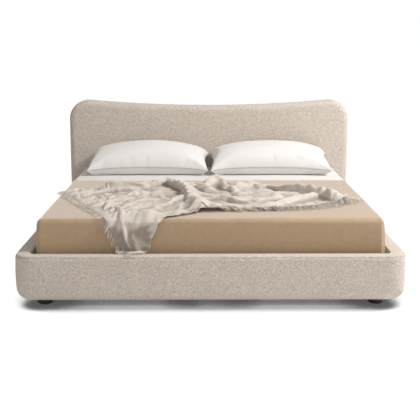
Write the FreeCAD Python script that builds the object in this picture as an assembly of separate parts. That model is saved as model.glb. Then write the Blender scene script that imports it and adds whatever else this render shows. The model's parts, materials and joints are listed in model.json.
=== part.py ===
"""King-size platform bed: upholstered base and headboard, dressed with a mattress,
fitted sheet, coverlet, two pillows and a fringed throw.

Millimetres. The floor is z = 0, +Z is up, +Y points to the headboard, +X is the right-hand
side of the bed as seen from its foot. The origin lies under the middle of the bed.
"""
import FreeCAD, Part
import math
import os
from math import cos, pi, sin

V = FreeCAD.Vector
os.makedirs("parts", exist_ok=True)

# driving dimensions of the base
bed_width = 2170.0
bed_length = 2275.0
base_bottom = 50.0
base_top = 311.0
rail_depth = 80.0
plan_radius = 105.0
bottom_round = 68.0
top_round = 16.0
well_radius = 34.0
cloth = 3.0
board = 27.0

# headboard
headboard_top = 1011.0
headboard_depth = 130.0
shoulder_radius = 145.0
dip = 43.0
front_round = 42.0
back_round = 12.0
foam_front = 45.0
foam_edge = 40.0
panel = 9.0
stile_width = 45.0

# mattress and bedding
mattress_width = 1930.0
mattress_length = 2030.0
mattress_top = 498.0
headboard_gap = 5.0
edge_round = 26.0
corner_round = 24.0
coverlet_cloth = 3.0
sheet_cloth = 2.0
ticking_cloth = 3.0
hem_from_foot = 1435.0
coverlet_hang = 236.0
comfort_depth = 60.0
pillow_width = 902.0
pillow_length = 488.0
pillow_height = 218.0
pillow_centre = 452.5
case_cloth = 1.5
throw_thick = 18.0
fringe_thick = 6.0
clearance = 0.4

# slatted support
slat_thick = 20.0
slat_width = 95.0
slat_count = 12
ledge_size = 40.0
beam_width = 60.0
beam_depth = 100.0
leg_radius = 20.0

# feet
foot_radius = 44.5
foot_setback = 165.0
foot_inset = 145.0
pad_thick = 3.0
stud_radius = 5.0
block_height = 40.0

# fasteners
bolt_radius = 4.0
bolt_head_radius = 8.0
bolt_head = 5.0
screw_radius = 2.5
screw_head_radius = 5.0
screw_head = 3.0

foot_face = -bed_length / 2
head_back = bed_length / 2
head_face = head_back - headboard_depth
half_width = bed_width / 2
well_half = half_width - rail_depth
well_foot = foot_face + rail_depth
mattress_head = head_face - headboard_gap
mattress_foot = mattress_head - mattress_length
mattress_half = mattress_width / 2
hem_y = foot_face + hem_from_foot
sheet_top = mattress_top - coverlet_cloth
board_out = well_half + cloth + board
slat_top = 228.0
slat_bottom = slat_top - slat_thick
ledge_bottom = slat_bottom - ledge_size
block_top = base_bottom + cloth + block_height

nodes = {}


def box(x0, x1, y0, y1, z0, z1):
    return Part.makeBox(x1 - x0, y1 - y0, z1 - z0, V(x0, y0, z0))


def rod(radius, start, direction, length):
    return Part.makeCylinder(radius, length, V(*start), V(*direction))


def union(shapes):
    first, rest = shapes[0], shapes[1:]
    return first.fuse(rest).removeSplitter() if rest else first


def group(shapes):
    return Part.makeCompound(shapes)


def mirrored(shape):
    return shape.mirror(V(0, 0, 0), V(1, 0, 0))


def both_sides(name, right_shape):
    """The same piece on the right of the bed and, mirrored, on the left."""
    nodes[name + "_right"] = right_shape
    nodes[name + "_left"] = mirrored(right_shape)


def rounded_outline(x0, x1, y0, y1, radii):
    """Rounded rectangle as a closed wire; radii start at (x0, y0) and go anticlockwise."""
    r0, r1, r2, r3 = radii
    corners = [(x0 + r0, y0 + r0, r0, 180), (x1 - r1, y0 + r1, r1, 270),
               (x1 - r2, y1 - r2, r2, 0), (x0 + r3, y1 - r3, r3, 90)]
    edges = []
    ends = []
    for cx, cy, r, start in corners:
        a, b = [V(cx + r * cos(t * pi / 180), cy + r * sin(t * pi / 180)) for t in (start, start + 90)]
        middle = V(cx + r * cos((start + 45) * pi / 180), cy + r * sin((start + 45) * pi / 180))
        ends.append((a, b))
        if r > 0:
            edges.append(Part.Arc(a, middle, b).toShape())
    for k in range(4):
        edges.append(Part.LineSegment(ends[k][1], ends[(k + 1) % 4][0]).toShape())
    return Part.Wire(Part.__sortEdges__(edges))


def rounded_block(x0, x1, y0, y1, z0, z1, radii):
    outline = rounded_outline(x0, x1, y0, y1, radii)
    outline.translate(V(0, 0, z0))
    return Part.Face(outline).extrude(V(0, 0, z1 - z0))


def level_edges(shape, z, skip_y=None):
    """Edges lying flat at height z, leaving out those on the plane y = skip_y."""
    found = []
    for edge in shape.Edges:
        bounds = edge.BoundBox
        flat = abs(bounds.ZMin - z) < 0.01 and abs(bounds.ZMax - z) < 0.01
        on_plane = skip_y is not None and abs(bounds.YMin - skip_y) + abs(bounds.YMax - skip_y) < 0.02
        if flat and not on_plane:
            found.append(edge)
    return found


# ---- base: boards, foam and one continuous cover -------------------------------------------

def base_outside(inset):
    """Outer form of the base: round in plan at the foot, a deep round below, a small one on top."""
    radius = plan_radius - inset
    block = rounded_block(-half_width + inset, half_width - inset, foot_face + inset, head_face,
                          base_bottom + inset, base_top - inset, (radius, radius, 0, 0))
    block = block.makeFillet(bottom_round - inset, level_edges(block, base_bottom + inset, head_face))
    return block.makeFillet(top_round - inset, level_edges(block, base_top - inset, head_face))


def base_well(outset):
    radius = well_radius + outset
    return rounded_block(-well_half - outset, well_half + outset, well_foot - outset, head_face + 50,
                         base_bottom - 50, base_top + 50, (radius, radius, 0, 0))


def make_base():
    stuffing = base_outside(cloth).cut(base_well(cloth))
    nodes["base_cover"] = base_outside(0).cut(base_well(0)).cut(stuffing)
    low, high = base_bottom + 2 * cloth, base_top - 12
    side_start = well_foot - cloth - board
    side = box(well_half + cloth, board_out, side_start, head_face, low, high)
    foot = box(-well_half - cloth, well_half + cloth, side_start, well_foot - cloth, low, high)
    both_sides("side_board", side.common(stuffing))
    nodes["foot_board"] = foot.common(stuffing)
    foam = stuffing.cut(side).cut(mirrored(side)).cut(foot)
    corner_y = foot_face + plan_radius + 60
    corner_x = half_width - plan_radius - 60
    long_zone = box(0, half_width, corner_y, head_face, 0, base_top)
    corner_zone = box(corner_x, half_width, foot_face, corner_y, 0, base_top)
    both_sides("side_foam", foam.common(long_zone))
    both_sides("corner_foam", foam.common(corner_zone))
    nodes["foot_foam"] = foam.common(box(-corner_x, corner_x, foot_face, corner_y, 0, base_top))


# ---- slatted support, corner blocks and feet -----------------------------------------------

def make_support():
    ledge_in, ledge_foot = well_half - ledge_size, well_foot + well_radius
    both_sides("slat_ledge", box(ledge_in, well_half, ledge_foot, head_face - 6, ledge_bottom, slat_bottom))
    beam_half, beam_bottom = beam_width / 2, slat_bottom - beam_depth
    nodes["centre_beam"] = box(-beam_half, beam_half, well_foot + 4, head_face - 4, beam_bottom, slat_bottom)
    first = well_foot + 60
    pitch = (head_face - 60 - slat_width - first) / (slat_count - 1)
    starts = [first + k * pitch for k in range(slat_count)]
    slat_half = well_half - 6
    slats = [box(-slat_half, slat_half, y, y + slat_width, slat_bottom, slat_top) for y in starts]
    nodes["slats"] = group(slats)
    make_slat_screws([y + slat_width / 2 for y in starts])
    reach = (foot_face + bed_length * 0.33, foot_face + bed_length * 0.66)
    legs = [rod(leg_radius, (0, y, pad_thick), (0, 0, 1), beam_bottom - pad_thick) for y in reach]
    nodes["centre_leg_foot"], nodes["centre_leg_head"] = legs
    nodes["centre_leg_pads"] = group([rod(leg_radius - 2, (0, y, 0), (0, 0, 1), pad_thick) for y in reach])
    make_hangers()


def make_slat_screws(rows):
    """One countersunk screw through each end of every slat into the ledge below it."""
    x = well_half - ledge_size / 2
    screws = []
    for y in rows:
        shank = rod(screw_radius, (x, y, ledge_bottom + 12), (0, 0, 1), slat_top - ledge_bottom - 14)
        head = rod(screw_head_radius, (x, y, slat_top - 1 - screw_head), (0, 0, 1), screw_head)
        screws.append(union([shank, head]))
    nodes["slat_screws"] = group(screws + [mirrored(screw) for screw in screws])


def make_hangers():
    """Steel stirrups that carry the two ends of the centre beam."""
    wall = 4.0
    half = beam_width / 2 + wall
    low = slat_bottom - beam_depth - wall
    high = slat_bottom - 20
    screws = []
    for name, face, inward, length in (("foot", well_foot, 1, 30), ("head", head_face, -1, 85)):
        y_end = face + inward * 50
        near, far = sorted((face, y_end))
        cup = box(-half, half, near, far, low, high)
        hollow = box(-beam_width / 2, beam_width / 2, near - 1, far + 1, low + wall, high + 1)
        plate_near, plate_far = sorted((face, face + inward * wall))
        plate = box(-half - 34, half + 34, plate_near, plate_far, low, high)
        nodes["beam_hanger_" + name] = union([cup.cut(hollow), plate])
        for x in (-half - 18, half + 18):
            for z in (low + 22, high - 22):
                shank = rod(screw_radius, (x, face + inward * wall, z), (0, -inward, 0), length)
                head = rod(screw_head_radius, (x, face + inward * wall, z), (0, inward, 0), screw_head)
                screws.append(union([shank, head]))
    nodes["hanger_screws"] = group(screws)


def foot_places():
    x = half_width - foot_inset
    near = foot_face + foot_setback
    far = head_face - foot_setback + rail_depth
    return [("foot_right", x, near), ("foot_left", -x, near), ("head_right", x, far), ("head_left", -x, far)]


def make_feet():
    pads = []
    studs = []
    for name, x, y in foot_places():
        puck = rod(foot_radius, (x, y, pad_thick), (0, 0, 1), base_bottom + cloth - pad_thick)
        puck = puck.makeFillet(12, level_edges(puck, pad_thick))
        stud = rod(stud_radius, (x, y, base_bottom - 25), (0, 0, 1), 55)
        x_out = well_half if x > 0 else -well_half
        x_in = x - 55 if x > 0 else x + 55
        y_out = well_foot if y < 0 else head_face
        y_in = y + 62 if y < 0 else y - 62
        x_low, x_high = sorted((x_out, x_in))
        y_low, y_high = sorted((y_out, y_in))
        block = box(x_low, x_high, y_low, y_high, base_bottom + cloth, block_top)
        if y < 0:
            block = block.common(base_well(0))
        nodes["corner_block_" + name] = block.cut(stud)
        nodes["puck_" + name] = puck.cut(stud)
        pads.append(rod(foot_radius - 14, (x, y, 0), (0, 0, 1), pad_thick))
        studs.append(stud)
    nodes["foot_pads"] = group(pads)
    nodes["foot_studs"] = group(studs)


def make_brackets():
    """Steel angles that bolt the side rails to the headboard, below the slat ledges."""
    wall = 4.0
    leg = 60.0
    low, high = block_top + 3, ledge_bottom - 3
    along_rail = box(well_half - wall, well_half, head_face - leg, head_face, low, high)
    along_board = box(well_half - leg, well_half, head_face - wall, head_face, low, high)
    bracket = union([along_rail, along_board])
    bolts = []
    for z in (low + 18, high - 18):
        shank = rod(bolt_radius, (well_half - wall, head_face - 38, z), (1, 0, 0), 30 + wall)
        head = rod(bolt_head_radius, (well_half - wall, head_face - 38, z), (-1, 0, 0), bolt_head)
        bolts.append(union([shank, head]))
        shank = rod(bolt_radius, (well_half - 38, head_face - wall, z), (0, 1, 0), 100)
        head = rod(bolt_head_radius, (well_half - 38, head_face - wall, z), (0, -1, 0), bolt_head)
        bolts.append(union([shank, head]))
    both_sides("headboard_bracket", bracket)
    nodes["bracket_bolts"] = group(bolts + [mirrored(bolt) for bolt in bolts])


# ---- headboard -----------------------------------------------------------------------------

def headboard_form(inset, y0, y1, rounds=(0, 0)):
    """Headboard outline, pulled in by inset, between two planes.

    The shoulder arcs run tangent into one long hollow arc along the top.
    """
    side = half_width - inset
    bottom = base_bottom + (inset if inset <= cloth else 0)
    radius = shoulder_radius - inset
    reach = half_width - shoulder_radius
    shoulder_z = headboard_top - shoulder_radius
    centres_apart = (reach ** 2 + dip ** 2) / (2 * dip)
    hollow_radius = centres_apart - radius
    lowest = V(0, 0, shoulder_z + centres_apart - dip - hollow_radius)
    turn = pi / 2 + math.asin(reach / centres_apart)
    middle, joint = [V(reach + radius * cos(a), 0, shoulder_z + radius * sin(a)) for a in (turn / 2, turn)]
    start = V(side, 0, shoulder_z)
    path = [Part.LineSegment(V(-side, 0, bottom), V(side, 0, bottom)),
            Part.LineSegment(V(side, 0, bottom), start),
            Part.Arc(start, middle, joint),
            Part.Arc(joint, lowest, flipped(joint)),
            Part.Arc(flipped(joint), flipped(middle), flipped(start)),
            Part.LineSegment(flipped(start), V(-side, 0, bottom))]
    wire = Part.Wire([piece.toShape() for piece in path])
    wire.translate(V(0, y0, 0))
    form = Part.Face(wire).extrude(V(0, y1 - y0, 0))
    for y, rounding in ((y0, rounds[0]), (y1, rounds[1])):
        if rounding:
            form = form.makeFillet(rounding, outline_edges(form, y, bottom))
    return form


def flipped(point):
    return V(-point.x, point.y, point.z)


def outline_edges(shape, y, bottom):
    found = []
    for edge in shape.Edges:
        bounds = edge.BoundBox
        in_plane = abs(bounds.YMin - y) < 0.01 and abs(bounds.YMax - y) < 0.01
        if in_plane and bounds.ZMax > bottom + 1:
            found.append(edge)
    return found


def make_headboard():
    core_front = head_face + cloth + foam_front
    core_back = head_back - cloth
    frame_front = core_front + panel
    frame_back = core_back - panel
    inset = foam_edge + cloth
    padding = headboard_form(cloth, head_face + cloth, core_back, (front_round - cloth, back_round - cloth))
    nodes["headboard_cover"] = headboard_form(0, head_face, head_back, (front_round, back_round)).cut(padding)
    core = headboard_form(inset, core_front, core_back).common(padding)
    foam = padding.cut(core)
    nodes["headboard_front_foam"] = foam.common(box(-half_width, half_width, head_face, core_front, 0, 1100))
    edge_foam = foam.common(box(-half_width, half_width, core_front, head_back, 0, 1100))
    split = half_width - shoulder_radius - 60
    nodes["headboard_top_foam"] = edge_foam.common(box(-split, split, core_front, head_back, 0, 1100))
    side_zone = box(split, half_width, core_front, head_back, 0, 1100)
    both_sides("headboard_side_foam", edge_foam.common(side_zone))
    wide, tall = half_width, headboard_top
    nodes["headboard_front_panel"] = core.common(box(-wide, wide, core_front, frame_front, 0, tall))
    nodes["headboard_back_panel"] = core.common(box(-wide, wide, frame_back, core_back, 0, tall))
    make_headboard_frame(core, frame_front, frame_back, half_width - inset)


def make_headboard_frame(core, y0, y1, side):
    low, high = base_bottom + cloth, headboard_top
    rail_low, rail_high = high - foam_edge - dip - 70, high
    bottom_high = ledge_bottom + 40
    both_sides("headboard_stile", core.common(box(side - 90, side, y0, y1, bottom_high, rail_low)))
    post_x = side / 3
    post = box(post_x - stile_width / 2, post_x + stile_width / 2, y0, y1, bottom_high, rail_low)
    both_sides("headboard_post", core.common(post))
    nodes["headboard_bottom_rail"] = core.common(box(-side, side, y0, y1, low, bottom_high))
    nodes["headboard_top_rail"] = core.common(box(-side, side, y0, y1, rail_low, rail_high))


# ---- mattress and bedding ------------------------------------------------------------------

def mattress_form(inset, z0, z1):
    """Mattress outline pulled in by inset; its top edge is rounded when z1 is an outer face."""
    half = mattress_half - inset
    radii = [corner_round - inset] * 4
    return rounded_block(-half, half, mattress_foot + inset, mattress_head - inset, z0, z1, radii)


def soft_top(inset, z0):
    top = mattress_top - inset
    block = mattress_form(inset, z0, top)
    return block.makeFillet(edge_round - inset - 4, level_edges(block, top))


def make_mattress():
    sheet_in = coverlet_cloth
    ticking_in = sheet_in + sheet_cloth
    core_in = ticking_in + ticking_cloth
    base = slat_top + sheet_cloth
    sheet_hole = box(-mattress_half + 150, mattress_half - 150, mattress_foot + 150, mattress_head - 150,
                     slat_top - 1, base)
    nodes["fitted_sheet"] = soft_top(sheet_in, slat_top).cut(soft_top(ticking_in, base)).cut(sheet_hole)
    nodes["mattress_ticking"] = soft_top(ticking_in, base).cut(soft_top(core_in, base - 1))
    inside = soft_top(core_in, base)
    comfort_low = mattress_top - core_in - comfort_depth
    base_high = base + 25
    nodes["mattress_base_foam"] = inside.common(box(-1200, 1200, -1200, 1200, base, base_high))
    nodes["mattress_spring_unit"] = inside.common(box(-1200, 1200, -1200, 1200, base_high, comfort_low))
    nodes["mattress_comfort_foam"] = inside.common(box(-1200, 1200, -1200, 1200, comfort_low, mattress_top))
    spread = soft_top(0, coverlet_hang).cut(soft_top(sheet_in, coverlet_hang - 1))
    nodes["coverlet"] = spread.common(box(-1200, 1200, foot_face, hem_y, coverlet_hang, mattress_top))


def pillow(centre_x, inset):
    """A plump lozenge lofted through rounded rectangles, widest at its side seam."""
    levels = ((0.0, 0.80, 0.76), (0.20, 0.97, 0.96), (0.30, 1.0, 1.0), (0.42, 0.97, 0.95),
              (0.65, 0.84, 0.80), (0.86, 0.64, 0.58), (1.0, 0.34, 0.28))
    centre_y = head_face - 8 - pillow_length / 2
    wires = []
    for height, wide, long in levels:
        half_x = pillow_width * wide / 2 - inset
        half_y = pillow_length * long / 2 - inset
        radius = 0.24 * half_y
        span = (centre_x - half_x, centre_x + half_x, centre_y - half_y, centre_y + half_y)
        wire = rounded_outline(*span, [radius] * 4)
        wire.translate(V(0, 0, sheet_top + clearance + inset + height * (pillow_height - 2 * inset)))
        wires.append(wire)
    return Part.makeLoft(wires, True, True)


def make_pillows():
    for side, x in (("left", -pillow_centre), ("right", pillow_centre)):
        fill = pillow(x, case_cloth)
        nodes["pillow_fill_" + side] = fill
        nodes["pillow_case_" + side] = pillow(x, 0).cut(fill)


def prism(corners, direction):
    wire = Part.makePolygon(corners + corners[:1])
    return Part.Face(wire).extrude(direction)


def flat_prism(outline, z, thickness):
    """Flat piece on the mattress; outline gives x and the distance from the foot of the bed."""
    return prism([V(x, foot_face + y, z) for x, y in outline], V(0, 0, thickness))


def make_throw():
    """Throw lying diagonally over the foot part; one corner hangs over the foot of the mattress."""
    z = mattress_top + clearance
    edge = mattress_foot - clearance
    lip = edge - foot_face - throw_thick
    spread = [(-955, 935), (-770, 470), (-620, lip), (-285, lip), (-150, 300), (540, 350), (800, 470),
              (915, 650), (870, 870), (690, 1150), (280, 1270), (-60, 1360), (-520, 1330), (-730, 1080)]
    top = flat_prism(spread, z, throw_thick)
    flap_low = base_top + 12
    hang = [(-620, z + throw_thick), (-530, flap_low), (-385, flap_low), (-372, z - 70), (-285, z + throw_thick)]
    flap = prism([V(x, edge - throw_thick, h) for x, h in hang], V(0, throw_thick, 0))
    nodes["throw"] = union([top, flap])
    side_row = [(-955, 935), (-770, 470), (-790, 455), (-962, 900)]
    foot_row = [(-150, 300), (540, 350), (545, 315), (-130, 265)]
    flat_rows = [flat_prism(row, z, fringe_thick) for row in (side_row, foot_row)]
    nodes["throw_fringe"] = group(flat_rows + [hanging_fringe(edge, flap_low)])


def hanging_fringe(edge, flap_low):
    """Tassels below the hanging corner, carried forward over the top of the foot rail."""
    rest = base_top + clearance
    outer = foot_face + 14
    over = box(-520, -392, outer, edge - throw_thick, rest, rest + fringe_thick)
    riser = box(-520, -392, edge - throw_thick, edge - throw_thick + fringe_thick, rest, flap_low)
    return union([over, riser])


# ---- screws and the holes they need --------------------------------------------------------

def make_ledge_screws():
    screws = []
    for k in range(6):
        y = well_foot + 150 + k * (head_face - well_foot - 300) / 5
        z = (ledge_bottom + slat_bottom) / 2
        shank = rod(screw_radius, (well_half - ledge_size, y, z), (1, 0, 0), 60)
        head = rod(screw_head_radius, (well_half - ledge_size, y, z), (-1, 0, 0), screw_head)
        screws.append(union([shank, head]))
    nodes["ledge_screws"] = group(screws + [mirrored(screw) for screw in screws])


def drill(fasteners, targets):
    """Cut the fasteners' holes in every piece that they pass through."""
    for name in targets:
        nodes[name] = nodes[name].cut(nodes[fasteners])


make_base()
make_support()
make_feet()
make_brackets()
make_headboard()
make_ledge_screws()
sides = ("left", "right")
side_boards = ["side_board_" + side for side in sides]
ledges = ["slat_ledge_" + side for side in sides]
brackets = ["headboard_bracket_" + side for side in sides]
drill("ledge_screws", ["base_cover"] + side_boards + ledges)
drill("slat_screws", ["slats"] + ledges)
headboard_layers = ["headboard_cover", "headboard_front_foam", "headboard_front_panel", "headboard_bottom_rail"]
drill("bracket_bolts", ["base_cover"] + side_boards + headboard_layers + brackets)
drill("hanger_screws", ["base_cover", "foot_board"] + headboard_layers + ["beam_hanger_foot", "beam_hanger_head"])
make_mattress()
make_pillows()
make_throw()

for name, shape in sorted(nodes.items()):
    shape.exportStep("parts/%s.step" % name)
    size = shape.BoundBox
    form = "%-28s solids %2d valid %s  x %7.1f %7.1f  y %8.1f %8.1f  z %6.1f %7.1f"
    limits = (size.XMin, size.XMax, size.YMin, size.YMax, size.ZMin, size.ZMax)
    print(form % ((name, len(shape.Solids), shape.isValid()) + limits))
print(len(nodes), "nodes")
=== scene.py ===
import bpy
import bmesh
import json
import math
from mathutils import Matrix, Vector, noise


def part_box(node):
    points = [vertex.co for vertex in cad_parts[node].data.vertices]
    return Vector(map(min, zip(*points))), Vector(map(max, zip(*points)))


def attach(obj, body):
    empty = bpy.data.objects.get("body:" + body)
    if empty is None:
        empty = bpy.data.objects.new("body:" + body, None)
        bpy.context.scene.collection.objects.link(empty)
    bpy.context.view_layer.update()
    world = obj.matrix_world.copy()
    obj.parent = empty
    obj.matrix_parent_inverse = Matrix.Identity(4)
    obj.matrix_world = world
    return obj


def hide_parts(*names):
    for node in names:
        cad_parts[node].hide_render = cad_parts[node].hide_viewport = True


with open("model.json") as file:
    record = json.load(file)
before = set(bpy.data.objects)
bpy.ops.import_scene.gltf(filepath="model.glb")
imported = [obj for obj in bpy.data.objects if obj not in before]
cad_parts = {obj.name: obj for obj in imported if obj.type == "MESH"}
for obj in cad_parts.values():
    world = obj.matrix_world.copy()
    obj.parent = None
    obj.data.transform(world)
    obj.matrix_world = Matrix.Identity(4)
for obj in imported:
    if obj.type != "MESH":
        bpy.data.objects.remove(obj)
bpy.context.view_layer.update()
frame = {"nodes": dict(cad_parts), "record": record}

scene = bpy.context.scene


# small helpers for meshes

def meshObject(name, points, faces):
    mesh = bpy.data.meshes.new(name)
    mesh.from_pydata([tuple(p) for p in points], [], faces)
    mesh.update()
    piece = bpy.data.objects.new(name, mesh)
    scene.collection.objects.link(piece)
    return piece


def faceOut(piece, merge=0.00005):
    # merge doubles, then turn every face outwards and shade it smooth
    work = bmesh.new()
    work.from_mesh(piece.data)
    if merge:
        bmesh.ops.remove_doubles(work, verts=work.verts, dist=merge)
    bmesh.ops.recalc_face_normals(work, faces=work.faces)
    if work.calc_volume(signed=True) < 0:
        bmesh.ops.reverse_faces(work, faces=work.faces)
    work.to_mesh(piece.data)
    work.free()
    smooth(piece)


def smooth(piece):
    piece.data.polygons.foreach_set("use_smooth", [True] * len(piece.data.polygons))
    piece.data.update()


def addModifier(piece, kind, **settings):
    modifier = piece.modifiers.new(kind.title(), kind)
    for key, value in settings.items():
        setattr(modifier, key, value)
    return modifier


def applyAll(piece):
    # turn the modified piece into a plain mesh
    bpy.context.view_layer.update()
    graph = bpy.context.evaluated_depsgraph_get()
    mesh = bpy.data.meshes.new_from_object(piece.evaluated_get(graph))
    piece.modifiers.clear()
    piece.data = mesh
    smooth(piece)


def dress(piece, material, body, nodes=()):
    piece.data.materials.clear()
    piece.data.materials.append(material)
    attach(piece, body)
    if nodes:
        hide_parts(*nodes)


def arc(cx, cy, radius, start, end, count):
    # points on a circle, angles in degrees
    steps = [math.radians(start + (end - start) * k / count) for k in range(count + 1)]
    return [(cx + radius * math.cos(a), cy + radius * math.sin(a)) for a in steps]


def between(a, b, step):
    # evenly spaced numbers from a to b, about step apart
    count = max(1, round(abs(b - a) / step))
    return [a + (b - a) * k / count for k in range(count + 1)]


def wobble(p, size, seed=0.0):
    # soft noise from -1 to 1, with lumps of about this size in metres
    return noise.noise(Vector((p[0] / size + seed, p[1] / size - seed, p[2] / size + 2 * seed)))


# shader tools

def newMaterial(name):
    material = bpy.data.materials.new(name)
    material.use_nodes = True
    nodes, links = material.node_tree.nodes, material.node_tree.links
    nodes.clear()
    out = nodes.new("ShaderNodeOutputMaterial")
    shader = nodes.new("ShaderNodeBsdfPrincipled")
    links.new(shader.outputs["BSDF"], out.inputs["Surface"])
    coords = nodes.new("ShaderNodeTexCoord")
    return material, nodes, links, shader, coords


def setInputs(node, **values):
    for key, value in values.items():
        node.inputs[key.replace("_", " ")].default_value = value


def newGroup(name, ins, outs):
    # ins: name -> (kind, default); outs: name -> kind
    tree = bpy.data.node_groups.new(name, "ShaderNodeTree")
    for key, (kind, value) in ins.items():
        socket = tree.interface.new_socket(name=key, in_out="INPUT", socket_type="NodeSocket" + kind)
        if value is not None:
            socket.default_value = value
    for key, kind in outs.items():
        tree.interface.new_socket(name=key, in_out="OUTPUT", socket_type="NodeSocket" + kind)
    start, end = tree.nodes.new("NodeGroupInput"), tree.nodes.new("NodeGroupOutput")
    return tree, tree.nodes, tree.links, start, end


def mathNode(nodes, links, operation, a, b=None, clamp=False):
    node = nodes.new("ShaderNodeMath")
    node.operation = operation
    node.use_clamp = clamp
    for slot, value in ((0, a), (1, b)):
        if value is None:
            continue
        if isinstance(value, (int, float)):
            node.inputs[slot].default_value = value
        else:
            links.new(value, node.inputs[slot])
    return node.outputs[0]


def mixColour(nodes, links, factor, a, b, blend="MIX"):
    node = nodes.new("ShaderNodeMix")
    node.data_type = "RGBA"
    node.blend_type = blend
    for slot, value in ((0, factor), (6, a), (7, b)):
        if isinstance(value, (int, float, tuple)):
            node.inputs[slot].default_value = value
        else:
            links.new(value, node.inputs[slot])
    return node.outputs[2]


def noiseNode(nodes, links, vector, scale, detail=2.0, rough=0.5, distortion=0.0):
    node = nodes.new("ShaderNodeTexNoise")
    for key, value in (("Scale", scale), ("Detail", detail), ("Roughness", rough),
                       ("Distortion", distortion)):
        if isinstance(value, (int, float)):
            node.inputs[key].default_value = value
        else:
            links.new(value, node.inputs[key])
    links.new(vector, node.inputs["Vector"])
    return node.outputs["Fac"]


def stretchVector(nodes, links, vector, scale=(1, 1, 1), turn=(0, 0, 0)):
    node = nodes.new("ShaderNodeMapping")
    node.inputs["Scale"].default_value = scale
    node.inputs["Rotation"].default_value = turn
    links.new(vector, node.inputs["Vector"])
    return node.outputs["Vector"]


def remap(nodes, links, value, low, high, toLow=0.0, toHigh=1.0):
    node = nodes.new("ShaderNodeMapRange")
    node.inputs["From Min"].default_value = low
    node.inputs["From Max"].default_value = high
    node.inputs["To Min"].default_value = toLow
    node.inputs["To Max"].default_value = toHigh
    links.new(value, node.inputs["Value"])
    return node.outputs["Result"]


def bumpNode(nodes, links, height, strength, distance, normal=None):
    node = nodes.new("ShaderNodeBump")
    node.inputs["Strength"].default_value = strength
    node.inputs["Distance"].default_value = distance
    links.new(height, node.inputs["Height"])
    if normal is not None:
        links.new(normal, node.inputs["Normal"])
    return node.outputs["Normal"]


# a group of curled yarn loops, for the upholstery cloth
def loopGroup():
    tree, nodes, links, start, end = newGroup(
        "yarnLoops", {"Vector": ("Vector", None), "Loop Size": ("Float", 140.0), "Curl": ("Float", 1.6)},
        {"Height": "Float", "Tuft": "Float", "Patch": "Float"})
    vector = start.outputs["Vector"]
    curl = noiseNode(nodes, links, vector, start.outputs["Loop Size"], 3.0, 0.55, start.outputs["Curl"])
    cells = nodes.new("ShaderNodeTexVoronoi")
    cells.feature = "SMOOTH_F1"
    links.new(vector, cells.inputs["Vector"])
    links.new(mathNode(nodes, links, "MULTIPLY", start.outputs["Loop Size"], 1.35), cells.inputs["Scale"])
    cells.inputs["Smoothness"].default_value = 0.35
    knots = mathNode(nodes, links, "SUBTRACT", 1.0, cells.outputs["Distance"])
    height = mathNode(nodes, links, "ADD", mathNode(nodes, links, "MULTIPLY", curl, 0.6),
                      mathNode(nodes, links, "MULTIPLY", knots, 0.4))
    links.new(height, end.inputs["Height"])
    links.new(remap(nodes, links, curl, 0.36, 0.64), end.inputs["Tuft"])
    links.new(noiseNode(nodes, links, vector, 9.0, 4.0, 0.6), end.inputs["Patch"])
    return tree


# a group of crossing warp and weft threads with slubs
def weaveGroup():
    tree, nodes, links, start, end = newGroup(
        "wovenThreads", {"Vector": ("Vector", None), "Threads": ("Float", 900.0), "Slub": ("Float", 0.4)},
        {"Height": "Float", "Slubs": "Float", "Cross": "Float"})
    vector = start.outputs["Vector"]
    split = nodes.new("ShaderNodeSeparateXYZ")
    links.new(vector, split.inputs["Vector"])
    u = mathNode(nodes, links, "MULTIPLY", split.outputs["X"], start.outputs["Threads"])
    v = mathNode(nodes, links, "MULTIPLY", split.outputs["Y"], start.outputs["Threads"])
    warp = mathNode(nodes, links, "SINE", mathNode(nodes, links, "MULTIPLY", u, math.pi))
    weft = mathNode(nodes, links, "SINE", mathNode(nodes, links, "MULTIPLY", v, math.pi))
    cross = mathNode(nodes, links, "MULTIPLY", warp, weft)
    slubU = noiseNode(nodes, links, stretchVector(nodes, links, vector, (14, 420, 1)), 1.0, 2.0, 0.5)
    slubV = noiseNode(nodes, links, stretchVector(nodes, links, vector, (420, 14, 1)), 1.0, 2.0, 0.5)
    slubs = mathNode(nodes, links, "MAXIMUM", slubU, slubV)
    height = mathNode(nodes, links, "ADD", mathNode(nodes, links, "ABSOLUTE", cross),
                      mathNode(nodes, links, "MULTIPLY", slubs, start.outputs["Slub"]))
    links.new(height, end.inputs["Height"])
    links.new(remap(nodes, links, slubs, 0.45, 0.75), end.inputs["Slubs"])
    links.new(cross, end.inputs["Cross"])
    return tree


# long grain lines with rings, for sawn timber and plywood faces
def grainGroup():
    tree, nodes, links, start, end = newGroup(
        "timberGrain", {"Vector": ("Vector", None), "Ring Width": ("Float", 60.0)},
        {"Grain": "Float", "Fibre": "Float"})
    vector = start.outputs["Vector"]
    wave = nodes.new("ShaderNodeTexWave")
    wave.wave_type = "RINGS"
    links.new(vector, wave.inputs["Vector"])
    links.new(start.outputs["Ring Width"], wave.inputs["Scale"])
    setInputs(wave, Distortion=5.0, Detail=3.0, Detail_Scale=0.6)
    links.new(wave.outputs["Fac"], end.inputs["Grain"])
    links.new(noiseNode(nodes, links, vector, 380.0, 4.0, 0.6), end.inputs["Fibre"])
    return tree


def useGroup(nodes, links, tree, vector, **values):
    node = nodes.new("ShaderNodeGroup")
    node.node_tree = tree
    links.new(vector, node.inputs["Vector"])
    setInputs(node, **values)
    return node


yarnLoops, wovenThreads, timberGrain = loopGroup(), weaveGroup(), grainGroup()

boucleLook = {
    "light": (0.69, 0.605, 0.525, 1), "dark": (0.34, 0.285, 0.235, 1), "fleck": (0.80, 0.73, 0.66, 1),
    "loopSize": 125.0, "curl": 1.8, "bump": 0.55, "depth": 0.004, "sheen": 0.25,
}


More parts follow.
